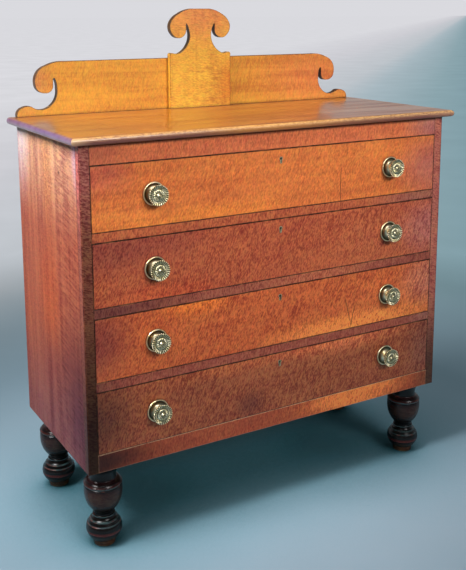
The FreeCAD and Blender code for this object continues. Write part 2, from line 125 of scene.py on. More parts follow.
def with_dirt_and_painted_shade(m, colour, dirt_and_shade, reach, amount, clear=0.95):
    """Dirt and painted shade where pieces meet, found by ambient occlusion. A place as open as the clear share
    has none.
    """
    shelter = add(m, "ShaderNodeAmbientOcclusion", {"samples": 6, "Distance": reach})
    darkness = add(m, "ShaderNodeMapRange", {"From Min": 0.35, "From Max": clear, "To Min": amount, "To Max": 0.0},
                {"Value": shelter.outputs["AO"]})
    return add(m, "ShaderNodeMix", {"data_type": "RGBA", 7: linear(dirt_and_shade)},
               {0: darkness.outputs["Result"], 6: colour}).outputs[2]


print("mid grey in linear light:", round(linear("#808080")[0], 3))

# %% [markdown]
# ## The camera
# The photograph was taken from a little above the top and from the left, with a long lens
# whose film plane was shifted so that the upright lines stay nearly upright. A camera that is
# tilted down without a shift would make the chest lean. The whole shift of the real camera
# would push the chest out of the frame in other views, so this one keeps part of it, and the
# tilt makes up the rest.

# %% Place the camera
picture_height = 570
sensor = 36.0
focal_pixels = 902.9
horizon_shift = 110
turn, tilt, roll = math.radians(30.304), math.radians(-10.238), math.radians(-0.157)
eye = Vector((-1.2281, -2.0719, 1.2846))

camera_data = bpy.data.cameras.new("photographers_camera")
camera_data.sensor_width = sensor
camera_data.lens = focal_pixels * sensor / picture_height
camera_data.shift_y = -horizon_shift / picture_height
camera = bpy.data.objects.new("photographers_camera", camera_data)
bpy.context.scene.collection.objects.link(camera)
bpy.context.scene.camera = camera

forward = Vector((math.sin(turn) * math.cos(tilt), math.cos(turn) * math.cos(tilt), math.sin(tilt)))
level_right = Vector((math.cos(turn), -math.sin(turn), 0))
level_up = level_right.cross(forward)
right = level_right * math.cos(roll) + level_up * math.sin(roll)
up = level_up * math.cos(roll) - level_right * math.sin(roll)
camera.matrix_world = Matrix.Translation(eye) @ Matrix((right, up, -forward)).transposed().to_4x4()
print("lens in mm:", round(camera_data.lens, 2), "shift:", round(camera_data.shift_y, 3))

# %% [markdown]
# ## Floor and background
# The chest stands on a wide roll of blue-grey paper that runs up behind it and fades to pale grey. A curved
# sheet would hide the chest when one walks round it, so the paper here lies flat and reaches far past the view.
# Its colour carries painted light: it fades to pale grey towards the far left, where the light falls on it, and
# darkens to teal towards the right and front as painted shade. The world behind it has that same grey for the
# camera and for reflections. The shade round and under the chest is painted shade too: a teal laid on with the
# occlusion that also lays dirt on the wood.

# %% Roll out the paper
paper_reach = 400.0
paper_near, paper_far = "#A4BCCC", "#DADADF"
# The painted light on the paper grows paler in this direction
paper_light_direction = (-0.7, 0.7, 0)
# Painted shade on the paper as colour, reach in metres and amount: teal all round the chest, nearly black right
# under it
wide_shade, core_shade = ("#14889A", 0.4, 0.97), ("#001014", 0.36, 0.85)


def paper():
    """Matt background paper, blue-grey near the chest, painted paler far off and to the left as painted light,
    with painted shade round and under the chest.
    """
    m = fresh("background_paper")
    where = add(m, "ShaderNodeTexCoord")
    middle = add(m, "ShaderNodeVectorMath", {"operation": "LENGTH"}, {0: where.outputs["Object"]})
    aside = add(m, "ShaderNodeVectorMath", {"operation": "DOT_PRODUCT", 1: paper_light_direction},
                {0: where.outputs["Object"]})
    spread = add(m, "ShaderNodeMapRange", {"From Min": -1.0, "From Max": 6.0},
                 {"Value": aside.outputs["Value"]})
    # Painted light and shade: pale grey to the far left, where the light falls, and teal to the right and front
    away = add(m, "ShaderNodeValToRGB",
               {"stops": [(0.0, "#7C9AA4"), (0.13, "#8CA6AE"), (0.28, "#A8B8C0"), (0.36, "#BEC4CA"),
                          (0.6, "#CECED4"), (1.0, paper_far)]},
               {"Fac": spread.outputs["Result"]})
    beyond = add(m, "ShaderNodeMapRange", {"From Min": 1.0, "From Max": 2.0},
                 {"Value": middle.outputs["Value"]})
    tone = add(m, "ShaderNodeMix", {"data_type": "RGBA", 6: linear(paper_near)},
               {0: beyond.outputs["Result"], 7: away.outputs["Color"]})
    # Clouds of tone about 600 mm across
    cloud = add(m, "ShaderNodeTexNoise", {"Scale": 1.6, "Detail": 4}, {"Vector": where.outputs["Object"]})
    soft = add(m, "ShaderNodeMapRange", {"To Min": 0.9, "To Max": 1.08}, {"Value": cloud.outputs["Fac"]})
    mottled = add(m, "ShaderNodeVectorMath", {"operation": "SCALE"},
                  {0: tone.outputs[2], "Scale": soft.outputs["Result"]})
    # Painted shade: teal round the chest and nearly black right under it
    shade = with_dirt_and_painted_shade(m, mottled.outputs["Vector"], *wide_shade)
    shaded = with_dirt_and_painted_shade(m, shade, *core_shade, clear=0.7)
    face = add(m, "ShaderNodeBsdfPrincipled", {"Roughness": 0.85, "Specular IOR Level": 0.25},
               {"Base Color": shaded})
    # Far off, what the camera and reflections see is the paper's own colour, whatever the light
    ray = add(m, "ShaderNodeLightPath")
    seen = add(m, "ShaderNodeMath", {"operation": "MAXIMUM"},
               {0: ray.outputs["Is Camera Ray"], 1: ray.outputs["Is Glossy Ray"]})
    far = add(m, "ShaderNodeMapRange", {"From Min": 1.0, "From Max": 2.6},
              {"Value": middle.outputs["Value"]})
    looked_at = add(m, "ShaderNodeMath", {"operation": "MULTIPLY"},
                    {0: far.outputs["Result"], 1: seen.outputs["Value"]})
    glow = add(m, "ShaderNodeEmission", {"Strength": 1.0}, {"Color": mottled.outputs["Vector"]})
    either = add(m, "ShaderNodeMixShader", None,
                 {0: looked_at.outputs["Value"], 1: face.outputs["BSDF"], 2: glow.outputs["Emission"]})
    add(m, "ShaderNodeOutputMaterial", None, {"Surface": either.outputs["Shader"]})
    return m


bpy.ops.mesh.primitive_grid_add(size=paper_reach, x_subdivisions=8, y_subdivisions=8)
floor = bpy.context.object
floor.name = "paper_floor"
floor.data.materials.append(paper())
floor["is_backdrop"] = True
print("paper:", floor.dimensions.x, "metres across")

# %% [markdown]
# ## Light
# The soft shadow under each knob lies a little below it, so the main light is a wide softbox in
# front, above the eye and to the right, with a grid that keeps it on the upper half. A second
# one stands high on the left and rakes down the side board. A third hangs over the floor on
# the left, so that the floor is bright and the space under the chest stays dark. The world
# could be black, but then the back and the right side would be too. So it adds a little cool
# fill, most of it from behind and the right, and shows a pale far wall to anything glossy.
# All are kept at a level where a colour renders about as it is written.

# %% Paint the room
sky = bpy.data.worlds.new("studio")
sky.use_nodes = True
bpy.context.scene.world = sky
sky.node_tree.nodes.clear()
ray = add(sky, "ShaderNodeLightPath")
aim = add(sky, "ShaderNodeTexCoord")
part = add(sky, "ShaderNodeSeparateXYZ", None, {"Vector": aim.outputs["Generated"]})
below_ceiling = add(sky, "ShaderNodeMapRange",
                    {"From Min": 0.25, "From Max": 0.7, "To Min": 1.0, "To Max": 0.1},
                    {"Value": part.outputs["Z"]})

# What glossy surfaces see: a wall behind and to the right, dim near the camera
bright_side = add(sky, "ShaderNodeVectorMath", {"operation": "DOT_PRODUCT", 1: (0.8, 1.0, 0.0)},
                  {0: aim.outputs["Generated"]})
back_wall = add(sky, "ShaderNodeMapRange",
                {"From Min": -0.5, "From Max": 0.6, "To Min": 0.2, "To Max": 0.58},
                {"Value": bright_side.outputs["Value"]})
room = add(sky, "ShaderNodeMath", {"operation": "MULTIPLY"},
           {0: back_wall.outputs["Result"], 1: below_ceiling.outputs["Result"]})
mirrored = add(sky, "ShaderNodeBackground", {"Color": linear(paper_far)}, {"Strength": room.outputs["Value"]})

# What lights the matt surfaces: a cool fill from the same side
dim_side = add(sky, "ShaderNodeVectorMath", {"operation": "DOT_PRODUCT", 1: (0.7, 0.8, 0.0)},
               {0: aim.outputs["Generated"]})
from_behind = add(sky, "ShaderNodeMapRange", {"From Min": 0.3, "From Max": 1.0, "To Max": 0.75},
                  {"Value": dim_side.outputs["Value"]})
even = add(sky, "ShaderNodeMath", {"operation": "MULTIPLY_ADD", 2: 0.06},
           {0: from_behind.outputs["Result"], 1: below_ceiling.outputs["Result"]})
fill = add(sky, "ShaderNodeBackground", {"Color": linear("#A8DCE2")}, {"Strength": even.outputs["Value"]})

# What the camera sees: the paper's far tone
behind = add(sky, "ShaderNodeBackground", {"Color": linear(paper_far), "Strength": 1.0})
soft_or_mirrored = add(sky, "ShaderNodeMixShader", None,
                       {0: ray.outputs["Is Glossy Ray"], 1: fill.outputs["Background"],
                        2: mirrored.outputs["Background"]})
either = add(sky, "ShaderNodeMixShader", None,
             {0: ray.outputs["Is Camera Ray"], 1: soft_or_mirrored.outputs["Shader"],
              2: behind.outputs["Background"]})
add(sky, "ShaderNodeOutputWorld", None, {"Surface": either.outputs["Shader"]})

# %% Hang the softboxes
softboxes = [
    # name, place, aims at, width, height, watts, spread in degrees
    ("key_softbox", (0.55, -3.0, 2.4), (0.2, -0.2, 1.2), 2.2, 1.2, 10.2, 46),
    ("side_softbox", (-1.9, -0.3, 2.6), (-0.53, 0.0, 1.0), 1.0, 1.0, 12.0, 60),
    ("overhead_softbox", (-1.45, -1.2, 3.1), (-1.5, -0.7, 0.0), 1.8, 1.4, 6.8, 100),
]
for name, place, target, width, height, watts, spread in softboxes:
    lamp = bpy.data.lights.new(name, "AREA")
    lamp.shape, lamp.size, lamp.size_y = "RECTANGLE", width, height
    lamp.energy, lamp.spread = watts, math.radians(spread)
    box = bpy.data.objects.new(name, lamp)
    bpy.context.scene.collection.objects.link(box)
    box.location = place
    box.rotation_euler = (Vector(target) - Vector(place)).to_track_quat("-Z", "Y").to_euler()
    print(name, watts, "watts")

# %% [markdown]
# ## Figured maple under old varnish
# Maple is pale and even when it is new. A century of shellac and sunlight turns it honey or red
# brown, and some trees have a curl: the fibres wave, and each wave shows as a short dark
# stroke across the grain. Others have bird's eyes, dots about three millimetres across.
# A photograph of real boards would be the quick way, but it repeats and ends at the edges. A
# solid pattern runs through the wood instead, so a board's edges and ends agree with its face.
# The patterns are growth streaks, the curl, ray flecks, a slow drift of tone and a blush of
# mauve, and the hue wanders a little from stroke to stroke. The scale of a pattern is how
# often it repeats in a metre, so it is 1000 divided by the size in millimetres.

# %% Tones of one board
varnish_ior = 1.5
# Near black: soot and dirt, and painted shade where it darkens gaps, edge faces and places where pieces meet
soot_and_shade = "#120A08"
blush = (0.84, 0.70, 0.88, 1)
# What multiplies red, green and blue, from the darkest strokes to the palest wood
stroke_pulls = ((0.56, 0.32, 0.36), (0.89, 0.79, 0.82), (1.08, 1.12, 1.06), (1.30, 1.50, 1.34))


def shades(code):
    """Four tones round one: darker and redder in the strokes, paler and yellower between them."""
    return [[c * pull for c, pull in zip(linear(code), pulls)] + [1] for pulls in stroke_pulls]


print("strokes of the top drawer:", [round(c, 2) for c in shades("#E07A3D")[0]])

# %% [markdown]
# ### Washes and rings
# Old boards aren't even. Washes move the colour of some places towards another. Most of them are the tone of the
# wood, and some make the fronts and stiles darker towards the bottom and the lower left. On the side and the top
# rail, a few are painted light and shade, which the tables below name. A turned foot wears and darkens ring by
# ring, and its polished rings carry painted reflections of the floor. Painting these on an image would tie them
# to one unwrapping of the board, so each wash is a soft ellipsoid in the wood, given by a colour, an amount, its
# middle and its reach in millimetres. The rings of a foot are a ramp over its height.


# %% Washes and rings
def with_wash(m, colour, where, middle, wash):
    """Moves the colour from the middle tone towards another, round one place."""
    target, amount, place, reach = wash
    apart = add(m, "ShaderNodeMapping",
                {"Location": [-p / r for p, r in zip(place, reach)], "Scale": [1 / (r * mm) for r in reach]},
                {"Vector": where.outputs["Object"]})
    distance = add(m, "ShaderNodeVectorMath", {"operation": "LENGTH"}, {0: apart.outputs["Vector"]})
    here = add(m, "ShaderNodeMapRange",
               {"From Min": 1.0, "From Max": 0.15, "To Max": amount, "interpolation_type": "SMOOTHSTEP"},
               {"Value": distance.outputs["Value"]})
    tint = [t / c for t, c in zip(linear(target), linear(middle))]
    return add(m, "ShaderNodeMix", {"data_type": "RGBA", "blend_type": "MULTIPLY", 7: tint},
               {0: here.outputs["Result"], 6: colour}).outputs[2]


def with_bands(m, colour, where, middle, bands):
    """Moves the colour from the middle tone to the one that the table gives for each height."""
    height = bands[-1][0]
    part = add(m, "ShaderNodeSeparateXYZ", None, {"Vector": where.outputs["Object"]})
    share = add(m, "ShaderNodeMapRange", {"From Min": 0.0, "From Max": height * mm},
                {"Value": part.outputs["Z"]})
    tints = [(at / height, [t / c for t, c in zip(linear(code), linear(middle))]) for at, code in bands]
    ramp = add(m, "ShaderNodeValToRGB", {"stops": tints}, {"Fac": share.outputs["Result"]})
    return add(m, "ShaderNodeMix", {"data_type": "RGBA", "blend_type": "MULTIPLY", 0: 1.0},
               {6: colour, 7: ramp.outputs["Color"]}).outputs[2]


print("#808080 washed to #5D5D5D is multiplied by", round(linear("#5D5D5D")[0] / linear("#808080")[0], 2))

# %% [markdown]
# ### Cracks and worn edges
# A board that dries splits a little along a line that wanders. Wax and soot lie along every arris as a dark
# line, which also stands for painted shade in the gaps between the parts. Hands and dusters rub the arrises bare
# in places, those that face up most. The sawn edge faces of the gallery and its plaque are painted darker, as
# painted shade. The top half of the top's rounded nose is paler in patches, partly rubbed wood and partly
# painted highlight. Real grooves and chamfers would change the shape of the CAD parts, so all of this is colour:
# the bevel node finds the arrises, and the way that a surface faces finds the sawn edges and the rounded nose of
# the top.

# %% Cracks
crack_width, crack_wander = 0.9 * mm, 6 * mm


def with_crack(m, colour, where, place, lean, length):
    """A shrinkage crack at a place given in millimetres. It wanders as it runs."""
    wander = add(m, "ShaderNodeTexNoise", {"Scale": 45.0, "Detail": 3}, {"Vector": where.outputs["Object"]})
    moved = add(m, "ShaderNodeVectorMath", {"operation": "MULTIPLY_ADD", 1: (crack_wander, 0, 0)},
                {0: wander.outputs["Color"], 2: where.outputs["Object"]})
    local = add(m, "ShaderNodeMapping",
                {"vector_type": "TEXTURE", "Location": [p * mm for p in place], "Rotation": (0, lean, 0),
                 "Scale": (crack_width, 1.0, length / 2 * mm)}, {"Vector": moved.outputs["Vector"]})
    part = add(m, "ShaderNodeSeparateXYZ", None, {"Vector": local.outputs["Vector"]})
    masks = []
    for axis in ("X", "Z"):
        size = add(m, "ShaderNodeMath", {"operation": "ABSOLUTE"}, {0: part.outputs[axis]})
        masks.append(add(m, "ShaderNodeMapRange", {"From Min": 1.2, "From Max": 0.6},
                         {"Value": size.outputs["Value"]}))
    open_here = add(m, "ShaderNodeMath", {"operation": "MULTIPLY"},
                    {0: masks[0].outputs["Result"], 1: masks[1].outputs["Result"]})
    return add(m, "ShaderNodeMix", {"data_type": "RGBA", 7: linear(soot_and_shade)},
               {0: open_here.outputs["Value"], 6: colour}).outputs[2]


print("cracks in mm:", round(crack_width / mm, 1))

# %% Worn arrises and painted gap shade
arris_reach = 3.2 * mm
# Colour of the bare wood, amount, and the level of the patches at which it begins
usual_wear = ("#E09860", 0.7, 0.52)


def with_arrises(m, colour, where, line, worn):
    """Dirt and painted gap shade lie along the arrises as a dark line, and wear breaks it with pale points."""
    bare, amount, begins = worn
    turned = add(m, "ShaderNodeBevel", {"samples": 4, "Radius": arris_reach})
    flat = add(m, "ShaderNodeNewGeometry")
    agree = add(m, "ShaderNodeVectorMath", {"operation": "DOT_PRODUCT"},
                {0: turned.outputs["Normal"], 1: flat.outputs["Normal"]})
    edge = add(m, "ShaderNodeMapRange", {"From Min": 0.995, "From Max": 0.92},
               {"Value": agree.outputs["Value"]})
    # Patches about 26 mm across
    patches = add(m, "ShaderNodeTexNoise", {"Scale": 38.0, "Detail": 4}, {"Vector": where.outputs["Object"]})
    dirt_and_gap_shade = add(m, "ShaderNodeMath", {"operation": "MULTIPLY", 1: line}, {0: edge.outputs["Result"]})
    lined = add(m, "ShaderNodeMix", {"data_type": "RGBA", 7: linear(soot_and_shade)},
                {0: dirt_and_gap_shade.outputs["Value"], 6: colour})
    way = add(m, "ShaderNodeSeparateXYZ", None, {"Vector": turned.outputs["Normal"]})
    facing_up = add(m, "ShaderNodeMapRange",
                    {"From Min": 0.05, "From Max": 0.3, "To Min": 0.3, "To Max": 1.0},
                    {"Value": way.outputs["Z"]})
    patchy = add(m, "ShaderNodeMapRange", {"From Min": begins, "From Max": begins + 0.1, "To Max": amount},
                 {"Value": patches.outputs["Fac"]})
    rubbed = add(m, "ShaderNodeMath", {"operation": "MULTIPLY"},
                 {0: patchy.outputs["Result"], 1: facing_up.outputs["Result"]})
    bared = add(m, "ShaderNodeMath", {"operation": "MULTIPLY"},
                {0: edge.outputs["Result"], 1: rubbed.outputs["Value"]})
    return add(m, "ShaderNodeMix", {"data_type": "RGBA", 7: linear(bare)},
               {0: bared.outputs["Value"], 6: lined.outputs[2]}).outputs[2]


print("arrises in mm:", round(arris_reach / mm, 1))

# %% Painted shade on sawn edges
sawn_edge_shade_fade = 3


def with_painted_shade_on_sawn_edges(m, colour, where, amount, lowest):
    """Painted shade on the sawn edge faces of an upright board, above a height in millimetres."""
    flat = add(m, "ShaderNodeNewGeometry")
    turned = add(m, "ShaderNodeSeparateXYZ", None, {"Vector": flat.outputs["Normal"]})
    facing = add(m, "ShaderNodeMath", {"operation": "ABSOLUTE"}, {0: turned.outputs["Y"]})
    sawn = add(m, "ShaderNodeMapRange", {"From Min": 0.7, "From Max": 0.3, "To Max": amount},
               {"Value": facing.outputs["Value"]})
    part = add(m, "ShaderNodeSeparateXYZ", None, {"Vector": where.outputs["Object"]})
    above = add(m, "ShaderNodeMapRange", {"From Min": (lowest - sawn_edge_shade_fade) * mm, "From Max": lowest * mm},
                {"Value": part.outputs["Z"]})
    # Painted shade on the edge faces above that height
    stained = add(m, "ShaderNodeMath", {"operation": "MULTIPLY"},
                  {0: sawn.outputs["Result"], 1: above.outputs["Result"]})
    return add(m, "ShaderNodeMix", {"data_type": "RGBA", 7: linear(soot_and_shade)},
               {0: stained.outputs["Value"], 6: colour}).outputs[2]


print("the stain fades in over", sawn_edge_shade_fade, "mm")

# %% The nose of the top
# Its tones from the left end to the right one; the pale one at the left end is a painted highlight
nose_tones_and_highlights = [(0.0, "#D0A078"), (0.05, "#84483E"), (0.28, "#864A34"), (0.4, "#B87228"), (0.56, "#B06A28"),
              (0.68, "#8C5030"), (0.9, "#84483A"), (1.0, "#A87458")]
rubbed_and_highlit_maple = "#F2BE78"


def with_rubbed_and_highlit_nose(m, colour, where, amount):
    """The top's front edge in its own tones, and paler in patches along its top half: rubbed wood and painted
    highlight.
    """
    flat = add(m, "ShaderNodeNewGeometry")
    turned = add(m, "ShaderNodeSeparateXYZ", None, {"Vector": flat.outputs["Normal"]})
    nose = add(m, "ShaderNodeMapRange", {"From Min": -0.25, "From Max": -0.5},
               {"Value": turned.outputs["Y"]})
    # The top half of the nose gets the pale patches, as wear and as painted highlight
    upper = add(m, "ShaderNodeMapRange", {"From Min": -0.2, "From Max": 0.6},
                {"Value": turned.outputs["Z"]})
    part = add(m, "ShaderNodeSeparateXYZ", None, {"Vector": where.outputs["Object"]})
    along = add(m, "ShaderNodeMapRange", {"From Min": -0.56, "From Max": 0.56},
                {"Value": part.outputs["X"]})
    tone = add(m, "ShaderNodeValToRGB", {"stops": nose_tones_and_highlights}, {"Fac": along.outputs["Result"]})
    # Rubbed patches, which are also the painted highlight: 9 mm long and 4 mm high
    long_way = add(m, "ShaderNodeMapping", {"Scale": (110, 260, 260)}, {"Vector": where.outputs["Object"]})
    patches = add(m, "ShaderNodeTexNoise", {"Scale": 1.0, "Detail": 4, "Roughness": 0.65},
                  {"Vector": long_way.outputs["Vector"]})
    bare = add(m, "ShaderNodeMapRange", {"From Min": 0.3, "From Max": 0.6, "To Max": amount},
               {"Value": patches.outputs["Fac"]})
    here = add(m, "ShaderNodeMath", {"operation": "MULTIPLY"},
               {0: upper.outputs["Result"], 1: bare.outputs["Result"]})
    rubbed = add(m, "ShaderNodeMix", {"data_type": "RGBA", 7: linear(rubbed_and_highlit_maple)},
                 {0: here.outputs["Value"], 6: tone.outputs["Color"]})
    return add(m, "ShaderNodeMix", {"data_type": "RGBA"},
               {0: nose.outputs["Result"], 6: colour, 7: rubbed.outputs[2]}).outputs[2]


print("tones along the nose:", len(nose_tones_and_highlights))

# %% [markdown]
# ### The maple itself
# One recipe makes every varnished board. The patterns choose a tone, and the tone gets its hue, blush and bird's
# eyes. The washes, the wear, the dirt and the painted shade and highlight go over it, and the varnish comes
# last. The curl also lifts the surface a little, which makes the varnish glint, and the last coat has sunk into
# the open streaks, so it shines in lines. The grain runs along X, or along Z where a board stands upright.

# %% Patterns
flecks_per_metre = (370, 125, 125)


def maple_patterns(m, where, seed, upright, lean, curl, strokes, curly_from, streaked, flecked):
    """The grain's own coordinates, the patterns, and their sum. Lean is in degrees."""
    slant = math.radians(lean)
    grain = add(m, "ShaderNodeMapping",
                {"Rotation": (0, math.pi / 2 if upright else 0, 0), "Location": (seed, seed * 0.7, seed * 0.3)},
                {"Vector": where.outputs["Object"]})
    # Growth streaks: about 400 mm long and from 25 mm down to 3 mm wide
    long_way = add(m, "ShaderNodeMapping", {"Scale": (2.5, 40, 40)}, {"Vector": grain.outputs["Vector"]})
    streaks = add(m, "ShaderNodeTexNoise", {"Scale": 1.0, "Detail": 5, "Roughness": 0.6, "Distortion": 0.4},
                  {"Vector": long_way.outputs["Vector"]})
    # Slow drift of tone over about 200 mm
    drift = add(m, "ShaderNodeTexNoise", {"Scale": 5.0, "Detail": 3, "Roughness": 0.55},
                {"Vector": grain.outputs["Vector"]})
    # Ray flecks are under a millimetre wide. These are 3 mm by 8 mm, the finest that shows
    leaning = add(m, "ShaderNodeMapping", {"Rotation": (0, -slant, slant)}, {"Vector": grain.outputs["Vector"]})
    short = add(m, "ShaderNodeMapping", {"Scale": flecks_per_metre}, {"Vector": leaning.outputs["Vector"]})
    flecks = add(m, "ShaderNodeTexNoise", {"Scale": 1.0, "Detail": 2, "Roughness": 0.6},
                 {"Vector": short.outputs["Vector"]})
    # Curl: strokes about 6 mm wide and 28 mm long that lean across the grain
    across = add(m, "ShaderNodeMapping", {"Scale": (strokes[0], strokes[1], strokes[1])},
                 {"Vector": leaning.outputs["Vector"]})
    waves = add(m, "ShaderNodeTexNoise", {"Scale": 1.0, "Detail": 2, "Roughness": 0.5, "Distortion": 0.3},
                {"Vector": across.outputs["Vector"]})
    stroke = add(m, "ShaderNodeMapRange", {"From Min": 0.36, "From Max": 0.66, "To Min": 0.6, "To Max": -1.0},
                 {"Value": waves.outputs["Fac"]})
    if curly_from is None:
        # It comes and goes in patches about 110 mm across
        curly_place = add(m, "ShaderNodeTexNoise", {"Scale": 9.0, "Detail": 2},
                          {"Vector": grain.outputs["Vector"]})
        strength = add(m, "ShaderNodeMapRange",
                       {"From Min": 0.42, "From Max": 0.62, "To Min": 0.1 * curl, "To Max": curl},
                       {"Value": curly_place.outputs["Fac"]})
    else:
        # It stands only in front of a line across the board, and fades in over 120 mm
        part = add(m, "ShaderNodeSeparateXYZ", None, {"Vector": where.outputs["Object"]})
        strength = add(m, "ShaderNodeMapRange",
                       {"From Min": curly_from, "From Max": curly_from - 0.12, "To Max": curl},
                       {"Value": part.outputs["Y"]})
    total = add(m, "ShaderNodeMath", {"operation": "MULTIPLY_ADD", 2: 0.5},
                {0: stroke.outputs["Result"], 1: strength.outputs["Result"]})
    # Each of the others adds what it differs from its own middle
    for pattern, weight in ((streaks, streaked), (drift, 0.3), (flecks, flecked)):
        centred = add(m, "ShaderNodeMath", {"operation": "SUBTRACT", 1: 0.5}, {0: pattern.outputs["Fac"]})
        total = add(m, "ShaderNodeMath", {"operation": "MULTIPLY_ADD", 1: weight},
                    {0: centred.outputs["Value"], 2: total.outputs["Value"]})
    return grain, leaning, streaks, drift, waves, total


print("flecks in mm:", [round(1000 / count, 1) for count in flecks_per_metre])

# %% Colour
hue_spread = 0.4


def maple_colour(m, middle, grain, leaning, total, blushed, eyes):
    """The tone that the patterns choose, with its hue, its blush and its bird's eyes."""
    body = add(m, "ShaderNodeValToRGB",
               {"stops": list(zip((0.12, 0.38, 0.52, 0.76), shades(middle)))}, {"Fac": total.outputs["Value"]})
    # Hue: each stroke, 8 mm by 17 mm, is a little redder, greener or bluer than the next
    short_hue = add(m, "ShaderNodeMapping", {"Scale": (130, 60, 60)}, {"Vector": leaning.outputs["Vector"]})
    hues = add(m, "ShaderNodeTexNoise", {"Scale": 1.0, "Detail": 2, "Roughness": 0.6},
               {"Vector": short_hue.outputs["Vector"]})
    around_one = add(m, "ShaderNodeVectorMath",
                     {"operation": "MULTIPLY_ADD", 1: [hue_spread] * 3, 2: [1 - hue_spread / 2] * 3},
                     {0: hues.outputs["Color"]})
    varied = add(m, "ShaderNodeMix", {"data_type": "RGBA", "blend_type": "MULTIPLY", 0: 1.0},
                 {6: body.outputs["Color"], 7: around_one.outputs["Vector"]})
    # Blush: mauve patches about 110 mm long and 45 mm wide
    patchy = add(m, "ShaderNodeMapping", {"Scale": (9, 22, 22)}, {"Vector": grain.outputs["Vector"]})
    cloud = add(m, "ShaderNodeTexNoise", {"Scale": 1.0, "Detail": 4, "Roughness": 0.6, "Distortion": 0.8},
                {"Vector": patchy.outputs["Vector"]})
    cool = add(m, "ShaderNodeMapRange", {"From Min": 0.44, "From Max": 0.66, "To Max": blushed},
               {"Value": cloud.outputs["Fac"]})
    tinted = add(m, "ShaderNodeMix", {"data_type": "RGBA", "blend_type": "MULTIPLY", 7: blush},
                 {0: cool.outputs["Result"], 6: varied.outputs[2]})
    # Bird's eyes: dots about 3 mm across, one every 14 mm or so, and only some of them dark
    cells = add(m, "ShaderNodeTexVoronoi", {"Scale": 70.0, "Randomness": 1.0},
                {"Vector": grain.outputs["Vector"]})
    dot = add(m, "ShaderNodeMapRange", {"From Min": 0.08, "From Max": 0.26, "To Min": eyes, "To Max": 0.0},
              {"Value": cells.outputs["Distance"]})
    some = add(m, "ShaderNodeSeparateColor", None, {"Color": cells.outputs["Color"]})
    chosen = add(m, "ShaderNodeMapRange", {"From Min": 0.5, "From Max": 0.8}, {"Value": some.outputs["Red"]})
    eye_shade = add(m, "ShaderNodeMath", {"operation": "MULTIPLY"},
                    {0: dot.outputs["Result"], 1: chosen.outputs["Result"]})
    return add(m, "ShaderNodeMix", {"data_type": "RGBA", 7: shades(middle)[0]},
               {0: eye_shade.outputs["Value"], 6: tinted.outputs[2]}).outputs[2]


print("hues within", hue_spread / 2, "of their middle")

# %% Varnish
edge_round = 1.2 * mm


def worn_normal(m, height, distance):
    """A normal with softened arrises and a fine relief."""
    arris = add(m, "ShaderNodeBevel", {"samples": 4, "Radius": edge_round})
    return add(m, "ShaderNodeBump", {"Strength": 1.0, "Distance": distance},
               {"Height": height, "Normal": arris.outputs["Normal"]}).outputs["Normal"]


def varnish(m, where, colour, streaks, drift, waves, gloss, level, coat):
    """Old shellac over the coloured wood."""
    # Hand planing leaves the board wavy by a tenth of a millimetre over 60 mm or so
    planed = add(m, "ShaderNodeTexNoise", {"Scale": 16.0, "Detail": 1}, {"Vector": where.outputs["Object"]})
    relief = add(m, "ShaderNodeMath", {"operation": "MULTIPLY_ADD", 1: 0.12},
                 {0: waves.outputs["Fac"], 2: planed.outputs["Fac"]})
    normal = worn_normal(m, relief.outputs["Value"], 0.25 * mm)
    sheen = add(m, "ShaderNodeMapRange", {"To Min": gloss - 0.06, "To Max": gloss + 0.1},
                {"Value": drift.outputs["Fac"]})
    face = add(m, "ShaderNodeBsdfPrincipled",
               {"IOR": varnish_ior, "Specular IOR Level": level, "Coat Roughness": 0.15},
               {"Base Color": colour, "Roughness": sheen.outputs["Result"],
                "Normal": normal, "Coat Normal": normal})
    if coat:
        left_over = add(m, "ShaderNodeMapRange",
                        {"From Min": 0.36, "From Max": 0.6, "To Min": 0.4 * coat, "To Max": coat},
                        {"Value": streaks.outputs["Fac"]})
        m.node_tree.links.new(left_over.outputs["Result"], face.inputs["Coat Weight"])
    add(m, "ShaderNodeOutputMaterial", None, {"Surface": face.outputs["BSDF"]})


print("arrises softened by", round(edge_round / mm, 1), "mm")


# %% The whole recipe
def figured_maple(name, middle, seed, upright=False, lean=20, curl=0.22, strokes=(160, 36), curly_from=None,
                  eyes=0.4, flecked=1.0, streaked=0.5, blushed=0.6, washes=(), cracks=(), bands=(), line=1.0,
                  worn=usual_wear, sawn=None, nose=0.0, dirt_and_shade_amount=0.8, gloss=0.4, level=0.3, coat=0.08):
    """Maple round a middle tone. The seed says from where in the tree the board is cut."""
    m = fresh(name)
    where = add(m, "ShaderNodeTexCoord")
    grain, leaning, streaks, drift, waves, total = maple_patterns(
        m, where, seed, upright, lean, curl, strokes, curly_from, streaked, flecked)
    colour = maple_colour(m, middle, grain, leaning, total, blushed, eyes)
    for wash in washes:
        colour = with_wash(m, colour, where, middle, wash)
    for crack in cracks:
        colour = with_crack(m, colour, where, *crack)
    if bands:
        colour = with_bands(m, colour, where, middle, bands)
    colour = with_arrises(m, colour, where, line, worn)
    if sawn:
        colour = with_painted_shade_on_sawn_edges(m, colour, where, *sawn)
    if nose:
        colour = with_rubbed_and_highlit_nose(m, colour, where, nose)
    # Dirt, and painted shade where pieces meet and under overhangs, found by ambient occlusion
    colour = with_dirt_and_painted_shade(m, colour, soot_and_shade, 9 * mm, dirt_and_shade_amount)
    varnish(m, where, colour, streaks, drift, waves, gloss, level, coat)
    return m


def dress(name, material):
    """Gives a CAD part its finish."""
    slots = nodes[name].material_slots
    if slots:
        for slot in slots:
            slot.material = material
    else:
        nodes[name].data.materials.append(material)


print("parts to dress:", len(nodes))

# %% [markdown]
# ## Drawer fronts
# The four fronts were cut from different boards, so each has its own tone: the top one is
# orange, the next two redder, and the lowest one dark. The recipe stays the same, and only the
# tone, the figure, the washes and the place in the tree change. Two of the fronts have split a
# little as they dried.

